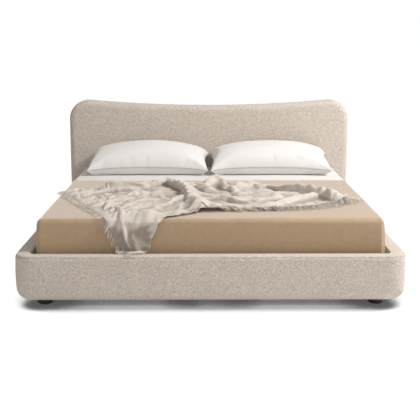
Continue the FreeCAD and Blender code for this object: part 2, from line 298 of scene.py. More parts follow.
def boucleMaterial():
    material, nodes, links, shader, coords = newMaterial("oatmealBoucle")
    flat = stretchVector(nodes, links, coords.outputs["Object"], (1.0, 1.0, 1.25))
    loops = useGroup(nodes, links, yarnLoops, flat, Loop_Size=boucleLook["loopSize"],
                     Curl=boucleLook["curl"])
    body = mixColour(nodes, links, loops.outputs["Tuft"], boucleLook["dark"], boucleLook["light"])
    flecks = noiseNode(nodes, links, coords.outputs["Object"], 260.0, 2.0, 0.5)
    body = mixColour(nodes, links, remap(nodes, links, flecks, 0.56, 0.72, 0.0, 0.55), body,
                     boucleLook["fleck"])
    patch = remap(nodes, links, loops.outputs["Patch"], 0.3, 0.7, 0.0, 0.12)
    body = mixColour(nodes, links, patch, body, boucleLook["dark"])
    links.new(body, shader.inputs["Base Color"])
    links.new(remap(nodes, links, loops.outputs["Tuft"], 0, 1, 0.98, 0.82), shader.inputs["Roughness"])
    height = bumpNode(nodes, links, loops.outputs["Height"], boucleLook["bump"], boucleLook["depth"])
    links.new(height, shader.inputs["Normal"])
    setInputs(shader, Sheen_Weight=boucleLook["sheen"], Sheen_Roughness=0.6, Specular_IOR_Level=0.15)
    return material


coverletLook = {
    "nap": (0.425, 0.298, 0.186, 1), "shade": (0.375, 0.260, 0.158, 1),
    "threads": 1100.0, "bump": 0.25, "depth": 0.0006, "sheen": 1.0,
}


def coverletMaterial():
    material, nodes, links, shader, coords = newMaterial("tanBrushedCotton")
    vector = coords.outputs["UV"]
    weave = useGroup(nodes, links, wovenThreads, vector, Threads=coverletLook["threads"], Slub=0.5)
    fuzz = noiseNode(nodes, links, coords.outputs["Object"], 34.0, 5.0, 0.65)
    body = mixColour(nodes, links, remap(nodes, links, fuzz, 0.32, 0.68), coverletLook["shade"],
                     coverletLook["nap"])
    body = mixColour(nodes, links, mathNode(nodes, links, "MULTIPLY", weave.outputs["Slubs"], 0.18),
                     body, coverletLook["shade"])
    links.new(body, shader.inputs["Base Color"])
    links.new(remap(nodes, links, fuzz, 0.3, 0.7, 0.75, 0.95), shader.inputs["Roughness"])
    links.new(bumpNode(nodes, links, weave.outputs["Height"], coverletLook["bump"], coverletLook["depth"]),
              shader.inputs["Normal"])
    setInputs(shader, Sheen_Weight=coverletLook["sheen"], Sheen_Roughness=0.45, Specular_IOR_Level=0.2)
    shader.inputs["Sheen Tint"].default_value = (1.0, 0.93, 0.85, 1)
    return material


cottonLook = {"white": (0.70, 0.675, 0.65, 1), "shade": (0.63, 0.60, 0.57, 1), "threads": 1400.0,
              "bump": 0.18, "depth": 0.0005, "sheen": 0.1}


def cottonMaterial():
    material, nodes, links, shader, coords = newMaterial("whitePercale")
    weave = useGroup(nodes, links, wovenThreads, coords.outputs["UV"], Threads=cottonLook["threads"],
                     Slub=0.15)
    folds = noiseNode(nodes, links, coords.outputs["Object"], 7.0, 4.0, 0.55, 0.6)
    body = mixColour(nodes, links, remap(nodes, links, folds, 0.35, 0.7, 0.0, 0.3),
                     cottonLook["white"], cottonLook["shade"])
    links.new(body, shader.inputs["Base Color"])
    links.new(remap(nodes, links, folds, 0.3, 0.7, 0.72, 0.86), shader.inputs["Roughness"])
    iron = bumpNode(nodes, links, folds, 0.12, 0.01)
    links.new(bumpNode(nodes, links, weave.outputs["Height"], cottonLook["bump"], cottonLook["depth"],
                       iron),
              shader.inputs["Normal"])
    setInputs(shader, Sheen_Weight=cottonLook["sheen"], Specular_IOR_Level=0.25)
    return material


# deep is a painted shade colour for the throw's fold hollows
linenLook = {"yarn": (0.58, 0.505, 0.43, 1), "pale": (0.70, 0.63, 0.56, 1),
             "shade": (0.36, 0.295, 0.235, 1),
             "deep": (0.24, 0.19, 0.145, 1),
             "threads": 620.0, "bump": 0.5, "depth": 0.0012, "sheen": 0.2}


def linenMaterial():
    material, nodes, links, shader, coords = newMaterial("washedLinen")
    weave = useGroup(nodes, links, wovenThreads, coords.outputs["UV"], Threads=linenLook["threads"],
                     Slub=0.9)
    mottle = noiseNode(nodes, links, coords.outputs["UV"], 16.0, 6.0, 0.6)
    body = mixColour(nodes, links, remap(nodes, links, mottle, 0.35, 0.68), linenLook["yarn"],
                     linenLook["pale"])
    body = mixColour(nodes, links, mathNode(nodes, links, "MULTIPLY", weave.outputs["Slubs"], 0.35),
                     body, linenLook["shade"])
    # painted shade: the hollow attribute darkens the fold hollows towards the deep colour
    folds = nodes.new("ShaderNodeAttribute")
    folds.attribute_name = "hollow"
    body = mixColour(nodes, links, remap(nodes, links, folds.outputs["Fac"], 0.28, 0.9, 0.0, 0.72),
                     body, linenLook["deep"])
    links.new(body, shader.inputs["Base Color"])
    links.new(remap(nodes, links, weave.outputs["Slubs"], 0, 1, 0.88, 0.97), shader.inputs["Roughness"])
    crumple = bumpNode(nodes, links, mottle, 0.3, 0.006)
    links.new(bumpNode(nodes, links, weave.outputs["Height"], linenLook["bump"], linenLook["depth"],
                       crumple),
              shader.inputs["Normal"])
    setInputs(shader, Sheen_Weight=linenLook["sheen"], Sheen_Roughness=0.6, Specular_IOR_Level=0.15)
    return material


timberLook = {
    "pine": {"early": (0.74, 0.56, 0.36, 1), "late": (0.55, 0.35, 0.18, 1), "rings": 9.0,
             "stretch": (1, 0.05, 1)},
    "plywood": {"early": (0.78, 0.64, 0.46, 1), "late": (0.62, 0.46, 0.29, 1), "rings": 6.0,
                "stretch": (1, 0.07, 1)},
}


def timberMaterial(kind):
    look = timberLook[kind]
    material, nodes, links, shader, coords = newMaterial(kind + "Timber")
    along = stretchVector(nodes, links, coords.outputs["Object"], look["stretch"])
    grain = useGroup(nodes, links, timberGrain, along, Ring_Width=look["rings"])
    body = mixColour(nodes, links, grain.outputs["Grain"], look["early"], look["late"])
    body = mixColour(nodes, links, remap(nodes, links, grain.outputs["Fibre"], 0.4, 0.7, 0.0, 0.35),
                     body, look["late"])
    links.new(body, shader.inputs["Base Color"])
    links.new(remap(nodes, links, grain.outputs["Fibre"], 0.3, 0.7, 0.55, 0.8), shader.inputs["Roughness"])
    links.new(bumpNode(nodes, links, grain.outputs["Fibre"], 0.25, 0.0008), shader.inputs["Normal"])
    return material


def hardMaterial(name, colour, worn, roughLow, roughHigh, metallic, scale):
    # painted, plated or moulded surface with fine mottling and rubbed spots
    material, nodes, links, shader, coords = newMaterial(name)
    fine = noiseNode(nodes, links, coords.outputs["Object"], scale, 4.0, 0.6)
    rubbed = noiseNode(nodes, links, coords.outputs["Object"], scale * 0.08, 5.0, 0.7)
    body = mixColour(nodes, links, remap(nodes, links, rubbed, 0.55, 0.75, 0.0, 0.5), colour, worn)
    links.new(body, shader.inputs["Base Color"])
    links.new(remap(nodes, links, fine, 0.3, 0.7, roughLow, roughHigh), shader.inputs["Roughness"])
    links.new(bumpNode(nodes, links, fine, 0.15, 0.0004), shader.inputs["Normal"])
    setInputs(shader, Metallic=metallic)
    return material


def softMaterial(name, colour, shade, scale, depth, strength=0.5):
    # felt, foam, wadding and nonwoven: matt with open cells or fibres
    material, nodes, links, shader, coords = newMaterial(name)
    cells = noiseNode(nodes, links, coords.outputs["Object"], scale, 4.0, 0.7)
    broad = noiseNode(nodes, links, coords.outputs["Object"], scale * 0.05, 3.0, 0.5)
    body = mixColour(nodes, links, remap(nodes, links, cells, 0.35, 0.65), shade, colour)
    body = mixColour(nodes, links, remap(nodes, links, broad, 0.4, 0.7, 0.0, 0.25), body, shade)
    links.new(body, shader.inputs["Base Color"])
    links.new(remap(nodes, links, cells, 0.3, 0.7, 0.85, 1.0), shader.inputs["Roughness"])
    links.new(bumpNode(nodes, links, cells, strength, depth), shader.inputs["Normal"])
    setInputs(shader, Specular_IOR_Level=0.1)
    return material


def makeMaterials():
    return {
        "boucle": boucleMaterial(),
        "coverlet_tan": coverletMaterial(),
        "white_cotton": cottonMaterial(),
        "throw_linen": linenMaterial(),
        "pine": timberMaterial("pine"),
        "plywood": timberMaterial("plywood"),
        "steel": hardMaterial("blackPowderCoat", (0.03, 0.03, 0.032, 1), (0.07, 0.07, 0.07, 1), 0.42,
                              0.6, 0.0, 420.0),
        "zinc": hardMaterial("zincPlate", (0.62, 0.62, 0.6, 1), (0.45, 0.44, 0.42, 1), 0.28, 0.45, 1.0,
                             600.0),
        "puck": hardMaterial("satinBlackFoot", (0.014, 0.013, 0.012, 1), (0.035, 0.034, 0.032, 1), 0.32,
                             0.46, 0.0, 300.0),
        "felt": softMaterial("pressedFelt", (0.26, 0.25, 0.24, 1), (0.15, 0.145, 0.14, 1), 900.0, 0.001),
        "foam": softMaterial("creamFoam", (0.88, 0.84, 0.70, 1), (0.70, 0.65, 0.50, 1), 500.0, 0.0015),
        "ticking": softMaterial("knittedTicking", (0.86, 0.85, 0.82, 1), (0.70, 0.69, 0.66, 1), 260.0,
                                0.0015),
        "spring_unit": softMaterial("springPockets", (0.85, 0.85, 0.84, 1), (0.62, 0.62, 0.62, 1), 20.0,
                                    0.01),
        "pillow_fill": softMaterial("fibreFilling", (0.93, 0.92, 0.90, 1), (0.8, 0.79, 0.77, 1), 120.0,
                                    0.003),
    }


materials = makeMaterials()
print("materials ready:", len(materials))

for subpart in frame["record"]["subparts"]:
    cadPiece = frame["nodes"][subpart["node"]]
    cadPiece.data.materials.clear()
    cadPiece.data.materials.append(materials[subpart["material_slot"]])


# upholstered base: one profile carried round the two sides and the foot

baseLow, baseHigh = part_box("base_cover")
railDepth = 0.080

baseCut = {
    "planRadius": 0.105, "topRound": 0.016, "innerRound": 0.014, "bottomRound": 0.068, "bow": 0.0030,
    "crown": 0.0025, "seamAngle": 24, "seamDeep": 0.0032, "seamWide": 0.004, "lumps": 0.0011, "step": 0.022,
}


def basePath():
    # outer line of the base with its outward direction, from the left head end round to the right one
    left, right, foot, head = baseLow.x, baseHigh.x, baseLow.y, baseHigh.y
    r = baseCut["planRadius"]
    path = [(left, y, -1.0, 0.0) for y in between(head, foot + r, baseCut["step"])]
    path += [(x, y, (x - left - r) / r, (y - foot - r) / r) for x,
             y in arc(left + r, foot + r, r, 180, 270, 22)[1:-1]]
    path += [(x, foot, 0.0, -1.0) for x in between(left + r, right - r, baseCut["step"])]
    path += [(x, y, (x - right + r) / r, (y - foot - r) / r) for x,
             y in arc(right - r, foot + r, r, 270, 360, 22)[1:-1]]
    path += [(right, y, 1.0, 0.0) for y in between(foot + r, head, baseCut["step"])]
    return path


def baseProfile():
    # closed section as (outwards, up), starting at the bottom of the well
    low, high, inner = baseLow.z, baseHigh.z, -railDepth
    top, well, under = baseCut["topRound"], baseCut["innerRound"], baseCut["bottomRound"]
    points = [(inner, z) for z in between(low, high - well, 0.02)]
    points += arc(inner + well, high - well, well, 180, 90, 6)[1:]
    span = (inner + well, -top)
    for n in between(span[0], span[1], 0.008)[1:-1]:
        t = (n - span[0]) / (span[1] - span[0])
        points.append((n, high + baseCut["crown"] * math.sin(math.pi * t)))
    points += arc(-top, high - top, top, 90, 0, 12)
    start, stop = high - top, low + under
    for z in between(start, stop, 0.010)[1:-1]:
        t = (start - z) / (start - stop)
        points.append((baseCut["bow"] * math.sin(math.pi * t) ** 0.8, z))
    points += arc(-under, low + under, under, 0, -90, 14)
    points += [(n, low) for n in between(-under, inner, 0.01)[1:-1]]
    return points


def makeBaseCover():
    path, profile = basePath(), baseProfile()
    seam = math.radians(baseCut["seamAngle"])
    top = baseCut["topRound"]
    seamPoint = Vector((-top + top * math.cos(seam), baseHigh.z - top + top * math.sin(seam)))
    points, faces = [], []
    for x, y, nx, ny in path:
        for n, z in profile:
            away = (Vector((n, z)) - seamPoint).length
            groove = -baseCut["seamDeep"] * math.exp(-(away / baseCut["seamWide"]) ** 2)
            puff = 0.0012 * math.exp(-((away - 0.012) / 0.007) ** 2)
            out = groove + puff if n > -0.03 and z > baseHigh.z - 0.04 else 0.0
            side = Vector((n + top, z - baseHigh.z + top)).normalized() * out
            p = Vector((x + nx * (n + side.x), y + ny * (n + side.x), z + side.y))
            lump = baseCut["lumps"] * (wobble(p, 0.16, 3.1) + 0.5 * wobble(p, 0.05, 7.7))
            p += Vector((nx, ny, 0)) * lump * (1 if n > -railDepth * 0.5 else -0.6)
            points.append(p)
    rows, width = len(path), len(profile)
    for i in range(rows - 1):
        for j in range(width):
            k = (j + 1) % width
            faces.append((i * width + j, i * width + k, (i + 1) * width + k, (i + 1) * width + j))
    faces.append(tuple(range(width)))
    faces.append(tuple(range((rows - 1) * width, rows * width))[::-1])
    cover = meshObject("baseCover", points, faces)
    faceOut(cover)
    dress(cover, materials["boucle"], "bed_frame", ["base_cover"])
    return cover


baseCover = makeBaseCover()
print("base cover ready")


# headboard: offset arches for the rounded edge, and a filled middle

boardLow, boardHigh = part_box("headboard_cover")

boardCut = {
    "shoulder": 0.145, "dip": 0.043, "frontRound": 0.042, "backRound": 0.012, "crown": 0.004,
    "lumps": 0.0016,
    "sideRows": 44, "topRows": 96, "inner": 0.125, "seamBack": 0.020,
}


def archPoints(inset):
    # left side, top and right side of the outline pulled in by inset, as (x, z)
    side = boardHigh.x - inset
    radius = boardCut["shoulder"] - inset
    reach = boardHigh.x - boardCut["shoulder"]
    shoulderZ = boardHigh.z - boardCut["shoulder"]
    apart = (reach ** 2 + boardCut["dip"] ** 2) / (2 * boardCut["dip"])
    big = apart - radius
    bigZ = shoulderZ + apart - boardCut["dip"]
    turn = 90 + math.degrees(math.asin(reach / apart))
    count = boardCut["sideRows"]
    straight = [(side, boardLow.z + (shoulderZ - boardLow.z) * k / (count - 8)) for k in range(count - 7)]
    lowArc = arc(reach, shoulderZ, radius, 0, 45, 8)[1:]
    rightSide = straight + lowArc
    highArc = arc(reach, shoulderZ, radius, 45, turn, 12)[1:]
    sweep = math.degrees(math.asin(reach / apart))
    hollow = arc(0, bigZ, big, 270 + sweep, 270 - sweep, boardCut["topRows"] - 24)[1:]
    mirrored = [(-x, z) for x, z in highArc[:-1][::-1]] + [(-lowArc[-1][0], lowArc[-1][1])]
    top = [rightSide[-1]] + highArc + hollow + mirrored
    leftSide = [(-x, z) for x, z in rightSide]
    return leftSide, top[::-1], rightSide


def boardSheet(rings, depthAt, index):
    # one face of the headboard: nested arches, then a filled middle; returns its points, faces, the point
    # numbers along its bottom edge, and the arch's point count
    points, faces = [], []
    for inset, depth in rings:
        left, top, right = archPoints(inset)
        arch = left + top[1:-1] + right[::-1]
        points.append([depthAt(x, z, depth) for x, z in arch])
    width = len(points[0])
    flat = [p for ring in points for p in ring]
    for i in range(len(rings) - 1):
        for j in range(width - 1):
            faces.append((i * width + j, i * width + j + 1, (i + 1) * width + j + 1, (i + 1) * width + j))
    left, top, right = archPoints(rings[-1][0])
    depth = rings[-1][1]
    sideCount, topCount = len(left), len(top)
    base = (len(rings) - 1) * width
    numbers = {}
    for i in range(topCount):
        for j in range(sideCount):
            if i == 0:
                numbers[i, j] = base + j
            elif i == topCount - 1:
                numbers[i, j] = base + width - 1 - j
            elif j == sideCount - 1:
                numbers[i, j] = base + sideCount - 1 + i
            else:
                u, v = i / (topCount - 1), j / (sideCount - 1)
                bottom = Vector((left[0][0] * (1 - u) + right[0][0] * u, left[0][1]))
                upper = Vector(top[i])
                across = Vector(left[j]) * (1 - u) + Vector(right[j]) * u
                corner = (Vector(left[0]) * (1 - u) + Vector(right[0]) * u) * (1 - v)
                corner += (Vector(left[-1]) * (1 - u) + Vector(right[-1]) * u) * v
                spot = bottom * (1 - v) + upper * v + across - corner
                numbers[i, j] = len(flat)
                flat.append(depthAt(spot.x, spot.y, depth))
    for i in range(topCount - 1):
        for j in range(sideCount - 1):
            faces.append((numbers[i, j], numbers[i + 1, j], numbers[i + 1, j + 1], numbers[i, j + 1]))
    bottomLine = [k * width for k in range(len(rings))] + [numbers[i, 0] for i in range(1, topCount - 1)]
    bottomLine += [k * width + width - 1 for k in range(len(rings))][::-1]
    return flat, [tuple(n + index for n in face) for face in faces], [n + index for n in bottomLine], width


def makeHeadboardCover():
    front, back = boardLow.y, boardHigh.y
    middleZ = (boardLow.z + boardHigh.z) / 2
    frontRound, backRound = boardCut["frontRound"], boardCut["backRound"]

    def frontDepth(x, z, depth):
        reachX = max(0.0, 1 - (x / boardHigh.x) ** 2)
        reachZ = max(0.0, 1 - ((z - middleZ) / (boardHigh.z - middleZ)) ** 2)
        p = (x, depth, z)
        soft = boardCut["lumps"] * (wobble(p, 0.33, 1.7) + 0.45 * wobble(p, 0.11, 5.2))
        inward = depth - boardCut["crown"] * math.sqrt(reachX * reachZ) - soft * min(1, reachX * 6)
        return Vector((x, inward, z))

    def backDepth(x, z, depth):
        return Vector((x, depth + 0.0008 * wobble((x, depth, z), 0.2, 9.4), z))

    rings = []
    for a in range(0, 91, 9):
        t = math.radians(a)
        rings.append((frontRound * (1 - math.cos(t)), front + frontRound * (1 - math.sin(t))))
    rings += [(inset, front) for inset in (0.058, 0.078, 0.100, boardCut["inner"])]
    backRings = [(backRound * (1 - math.cos(math.radians(a))),
                  back - backRound * (1 - math.sin(math.radians(a))))
                 for a in range(0, 91, 18)]
    backRings += [(inset, back) for inset in (0.02, 0.045, 0.085, boardCut["inner"])]
    points, faces, lineA, width = boardSheet(rings, frontDepth, 0)
    more, moreFaces, lineB, width = boardSheet(backRings, backDepth, len(points))
    offset = len(points)
    # side band between the two outer arches, with a seam groove near the back
    start, stop = front + frontRound, back - backRound
    seamY = stop - boardCut["seamBack"]
    levels = sorted(set(between(start, stop, 0.008)[1:-1] + [seamY - 0.003, seamY, seamY + 0.003]))
    points += more
    faces += moreFaces
    previous = list(range(width))
    bandEnds = [lineA[0]], [lineA[-1]]
    for y in levels:
        groove = 0.0022 * math.exp(-((y - seamY) / 0.0028) ** 2)
        shrunk = archPoints(groove)
        ring = shrunk[0] + shrunk[1][1:-1] + shrunk[2][::-1]
        numbers = list(range(len(points), len(points) + width))
        points += [Vector((x, y, z)) for x, z in ring]
        for j in range(width - 1):
            faces.append((previous[j], previous[j + 1], numbers[j + 1], numbers[j]))
        bandEnds[0].append(numbers[0])
        bandEnds[1].append(numbers[-1])
        previous = numbers
    last = list(range(offset, offset + width))
    for j in range(width - 1):
        faces.append((previous[j], previous[j + 1], last[j + 1], last[j]))
    # bottom: strip between the two faces, closed at both ends by the band's lowest points
    loop = lineA + bandEnds[1][1:] + list(reversed(lineB)) + list(reversed(bandEnds[0][1:]))
    faces.append(tuple(loop))
    cover = meshObject("headboardCover", points, faces)
    faceOut(cover)
    dress(cover, materials["boucle"], "bed_frame", ["headboard_cover"])
    return cover


headboardCover = makeHeadboardCover()
print("headboard cover ready")


# small repeated pieces: one strand or one stitch set out by geometry nodes on marked points

def threadTree():
    tree = bpy.data.node_groups.new("threadRow", "GeometryNodeTree")
    face = tree.interface
    face.new_socket("Marks", in_out="INPUT", socket_type="NodeSocketGeometry")
    for name in ("Length", "Thickness", "Sway", "Roll", "Uneven"):
        face.new_socket(name, in_out="INPUT", socket_type="NodeSocketFloat")
    face.new_socket("Sides", in_out="INPUT", socket_type="NodeSocketInt")
    face.new_socket("Seed", in_out="INPUT", socket_type="NodeSocketInt")
    face.new_socket("Yarn", in_out="INPUT", socket_type="NodeSocketMaterial")
    face.new_socket("Threads", in_out="OUTPUT", socket_type="NodeSocketGeometry")
    nodes, links = tree.nodes, tree.links
    given, done = nodes.new("NodeGroupInput"), nodes.new("NodeGroupOutput")
    bend, tip = nodes.new("ShaderNodeCombineXYZ"), nodes.new("ShaderNodeCombineXYZ")
    half = nodes.new("ShaderNodeMath")
    half.operation = "MULTIPLY"
    half.inputs[1].default_value = 0.5
    links.new(given.outputs["Length"], half.inputs[0])
    links.new(given.outputs["Sway"], bend.inputs["X"])
    links.new(half.outputs[0], bend.inputs["Z"])
    links.new(given.outputs["Length"], tip.inputs["Z"])
    line = nodes.new("GeometryNodeCurveQuadraticBezier")
    line.inputs["Resolution"].default_value = 4
    line.inputs["Start"].default_value = (0, 0, 0)
    links.new(bend.outputs[0], line.inputs["Middle"])
    links.new(tip.outputs[0], line.inputs["End"])
    ring = nodes.new("GeometryNodeCurvePrimitiveCircle")
    links.new(given.outputs["Sides"], ring.inputs["Resolution"])
    links.new(given.outputs["Thickness"], ring.inputs["Radius"])
    tube = nodes.new("GeometryNodeCurveToMesh")
    tube.inputs["Fill Caps"].default_value = True
    links.new(line.outputs[0], tube.inputs["Curve"])
    links.new(ring.outputs[0], tube.inputs["Profile Curve"])
    way = nodes.new("GeometryNodeInputNamedAttribute")
    way.data_type = "FLOAT_VECTOR"
    way.inputs["Name"].default_value = "way"
    turn = nodes.new("FunctionNodeAlignRotationToVector")
    turn.axis = "Z"
    links.new(way.outputs["Attribute"], turn.inputs["Vector"])
    roll = nodes.new("FunctionNodeRandomValue")
    roll.data_type = "FLOAT"
    roll.inputs["Min"].default_value = 0.0
    links.new(given.outputs["Roll"], roll.inputs["Max"])
    links.new(given.outputs["Seed"], roll.inputs["Seed"])
    spin = nodes.new("FunctionNodeAxisAngleToRotation")
    spin.inputs["Axis"].default_value = (0, 0, 1)
    links.new(roll.outputs["Value"], spin.inputs["Angle"])
    both = nodes.new("FunctionNodeRotateRotation")
    both.rotation_space = "LOCAL"
    links.new(turn.outputs[0], both.inputs["Rotation"])
    links.new(spin.outputs[0], both.inputs["Rotate By"])
    least = nodes.new("ShaderNodeMath")
    least.operation = "SUBTRACT"
    least.inputs[0].default_value = 1.0
    links.new(given.outputs["Uneven"], least.inputs[1])
    size = nodes.new("FunctionNodeRandomValue")
    size.data_type = "FLOAT"
    size.inputs["Max"].default_value = 1.0
    links.new(least.outputs[0], size.inputs["Min"])
    links.new(given.outputs["Seed"], size.inputs["Seed"])
    place = nodes.new("GeometryNodeInstanceOnPoints")
    links.new(given.outputs["Marks"], place.inputs["Points"])
    links.new(tube.outputs[0], place.inputs["Instance"])
    links.new(both.outputs[0], place.inputs["Rotation"])
    links.new(size.outputs["Value"], place.inputs["Scale"])
    real, dye = nodes.new("GeometryNodeRealizeInstances"), nodes.new("GeometryNodeSetMaterial")
    links.new(place.outputs[0], real.inputs[0])
    links.new(real.outputs[0], dye.inputs["Geometry"])
    links.new(given.outputs["Yarn"], dye.inputs["Material"])
    links.new(dye.outputs[0], done.inputs["Threads"])
    return tree


threadRow = threadTree()


def layThreads(name, marks, **inputs):
    # marks are (point, direction); the result is a plain mesh
    guide = meshObject(name + "Marks", [p for p, way in marks], [])
    ways = guide.data.attributes.new("way", "FLOAT_VECTOR", "POINT")
    for k, (p, way) in enumerate(marks):
        ways.data[k].vector = way
    row = guide.modifiers.new("Threads", "NODES")
    row.node_group = threadRow
    numbers = {item.name: item.identifier for item in threadRow.interface.items_tree
               if item.in_out == "INPUT"}
    for key, value in inputs.items():
        row[numbers[key]] = value
    graph = bpy.context.evaluated_depsgraph_get()
    mesh = bpy.data.meshes.new_from_object(guide.evaluated_get(graph))
    piece = bpy.data.objects.new(name, mesh)
    scene.collection.objects.link(piece)
    bpy.data.objects.remove(guide, do_unlink=True)
    smooth(piece)
    return piece


# seam along the top edge of the base, sewn with small stitches

stitchCut = {"every": 0.0085, "length": 0.0062, "thickness": 0.00055, "seed": 4}


def makeBaseStitches():
    top, seam = baseCut["topRound"], math.radians(baseCut["seamAngle"])
    out = -top + top * math.cos(seam) - 0.0012
    up = baseHigh.z - top + top * math.sin(seam) - 0.0006
    line = [Vector((x + nx * out, y + ny * out, up)) for x, y, nx, ny in basePath()]
    marks, carried = [], 0.0
    for a, b in zip(line, line[1:]):
        span = (b - a).length
        while carried < span:
            p = a.lerp(b, carried / span)
            marks.append((p, (b - a).normalized()))
            carried += stitchCut["every"]
        carried -= span
    stitches = layThreads("baseStitches", marks, Length=stitchCut["length"],
                          Thickness=stitchCut["thickness"],
                          Sway=0.0, Roll=0.0, Uneven=0.12, Sides=5, Seed=stitchCut["seed"],
                          Yarn=yarnMaterial)
    dress(stitches, yarnMaterial, "bed_frame")
    print("base stitches", len(marks))
    return stitches


yarnMaterial = softMaterial("sewingYarn", (0.36, 0.30, 0.25, 1), (0.24, 0.20, 0.165, 1), 1500.0, 0.0004)
baseStitches = makeBaseStitches()


# mattress dressings: rings that climb the sides, roll over the edge and close across the top

sheetLow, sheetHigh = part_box("fitted_sheet")
spreadLow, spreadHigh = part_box("coverlet")
hemLine = spreadHigh.y

beddingCut = {
    "corner": 0.026, "edgeRound": 0.024, "topStep": 0.022, "riseStep": 0.014, "topInset": 0.11,
    "seamDeep": 0.0065, "seamWide": 0.0042, "sideBulge": 0.011, "waves": 0.0022,
}


def ringPoints(low, high, inset, xs, ys):
    # one level ring of a rounded rectangle, from the middle of the foot-left corner anticlockwise
    r = max(0.004, beddingCut["corner"] - inset)
    x0, x1, y0, y1 = low.x + inset + r, high.x - inset - r, low.y + inset + r, high.y - inset - r
    foot = arc(x0, y0, r, 225, 270, 4) + [(x, y0 - r) for x in xs] + arc(x1, y0, r, 270, 315, 4)
    right = arc(x1, y0, r, 315, 360, 4) + [(x1 + r, y) for y in ys] + arc(x1, y1, r, 0, 45, 4)
    head = arc(x1, y1, r, 45, 90, 4) + [(x, y1 + r) for x in xs[::-1]] + arc(x0, y1, r, 90, 135, 4)
    left = arc(x0, y1, r, 135, 180, 4) + [(x0 - r, y) for y in ys[::-1]] + arc(x0, y0, r, 180, 225, 4)
    return foot[:-1] + right[:-1] + head[:-1] + left[:-1], len(foot) - 1, len(right) - 1


def beddingShell(low, high, startZ, under, place):
    # place moves each point of the plain shell; under is how far the cloth turns in below
    margin = beddingCut["topInset"] + 0.03
    xs = between(low.x + margin, high.x - margin, beddingCut["topStep"])
    ys = between(low.y + margin, hemLine, beddingCut["topStep"]) + between(hemLine, high.y - margin,
                                                                       beddingCut["topStep"])[1:]
    rings = [(inset, startZ) for inset in between(under, 0.0, 0.02)[:-1]] if under else []
    roll = beddingCut["edgeRound"]
    rings += [(0.0, z) for z in between(startZ, high.z - roll, beddingCut["riseStep"])]
    rings += [(roll * (1 - math.cos(math.radians(a))), high.z - roll + roll * math.sin(math.radians(a)))
              for a in range(12, 91, 13)]
    rings += [(inset, high.z) for inset in (0.035, 0.052, 0.075, beddingCut["topInset"])]
    points, faces = [], []
    for inset, z in rings:
        loop, footCount, sideCount = ringPoints(low, high, inset, xs, ys)
        points += [Vector((x, y, z)) for x, y in loop]
    width = len(loop)
    for i in range(len(rings) - 1):
        for j in range(width):
            k = (j + 1) % width
            faces.append((i * width + j, i * width + k, (i + 1) * width + k, (i + 1) * width + j))
    base = (len(rings) - 1) * width
    numbers = {}
    for i in range(footCount + 1):
        for j in range(sideCount + 1):
            if j == 0:
                numbers[i, j] = base + i
            elif i == footCount:
                numbers[i, j] = base + footCount + j
            elif j == sideCount:
                numbers[i, j] = base + footCount + sideCount + (footCount - i)
            elif i == 0:
                numbers[i, j] = base + (width - j) % width
            else:
                numbers[i, j] = len(points)
                points.append(Vector((loop[i][0], loop[footCount + j][1], high.z)))
    for i in range(footCount):
        for j in range(sideCount):
            faces.append((numbers[i, j], numbers[i + 1, j], numbers[i + 1, j + 1], numbers[i, j + 1]))
    flat = [p.copy() for p in points]
    return [place(p) for p in points], faces, flat


def cornerAway(p, low, high):
    # distance from the nearest foot corner's upright seam, measured across the corner
    side = min(abs(p.x - low.x), abs(p.x - high.x))
    return abs(side - (p.y - low.y)) / math.sqrt(2) + (0 if max(side, p.y - low.y) < 0.03 else 1)


def outward(p, low, high):
    # which way is out at a point on the shell's sides
    reach = 0.03
    dx = max(0, reach - (high.x - p.x)) - max(0, reach - (p.x - low.x))
    dy = max(0, reach - (high.y - p.y)) - max(0, reach - (p.y - low.y))
    way = Vector((dx, dy, 0))
    return way.normalized() if way.length > 1e-6 else Vector((0, 0, 0))


def flatMap(piece, flat, low, high):
    # cloth coordinates in metres, unrolled from the top panel down the sides
    layer = piece.data.uv_layers.new(name="cloth")
    uvs = []
    for p in flat:
        drop = high.z - p.z
        way = outward(p, low, high) if drop > 0.02 else Vector((0, 0, 0))
        uvs.append((p.x + way.x * drop, p.y + way.y * drop))
    for loop in piece.data.loops:
        layer.data[loop.index].uv = uvs[loop.vertex_index]


def makeCoverlet():
    low, high = Vector(spreadLow), Vector(spreadHigh)
    high.y = sheetHigh.y + 0.003
    bulge, deep, wide = beddingCut["sideBulge"], beddingCut["seamDeep"], beddingCut["seamWide"]

    def place(p):
        way = outward(p, low, high)
        rise = (p.z - low.z) / (high.z - low.z)
        swell = bulge * math.sin(math.pi * min(1, max(0, (p.z - low.z) / (high.z - low.z - 0.01)))) ** 0.7
        seam = -deep * math.exp(-(cornerAway(p, low, high) / wide) ** 2) * max(0.0,
                                                                               min(1.0,
                                                                                   (0.92 - rise) / 0.12))
        along = min(1.0, max(0.0, (p.y - low.y) / 1.2))
        sideWays = abs(way.x) * swell * (1.0 - 0.4 * along) + abs(way.y) * swell * 0.35
        wave = beddingCut["waves"] * (wobble(p, 0.34, 2.2) + 0.5 * wobble(p, 0.12, 6.1))
        q = p + way * (sideWays + seam + wave * (1 - rise * 0.5))
        if rise > 0.9:
            hem = 0.0016 * math.exp(-((hemLine - 0.011 - p.y) / 0.006) ** 4)
            sag = -0.004 * math.exp(-((p.y - low.y) / 0.05) ** 2) * (0.5 + 0.5 * wobble(p, 0.45, 8.8))
            q.z += wave * 0.8 + hem + sag + 0.0012
        if abs(p.y - low.y) < 0.02 and abs(way.y) > 0.5:
            q.z += 0.003 * wobble(p, 0.5, 4.4) * rise
        return q

    points, faces, flat = beddingShell(low, high, low.z, 0, place)
    kept = [f for f in faces if sum(flat[k].y for k in f) / len(f) < hemLine]
    cover = meshObject("coverletCloth", points, kept)
    flatMap(cover, flat, low, high)
    tidyLoose(cover)
    faceUpOut(cover)
    addModifier(cover, "SOLIDIFY", thickness=0.0026, offset=-1)
    applyAll(cover)
    dress(cover, materials["coverlet_tan"], "mattress", ["coverlet"])
    return cover


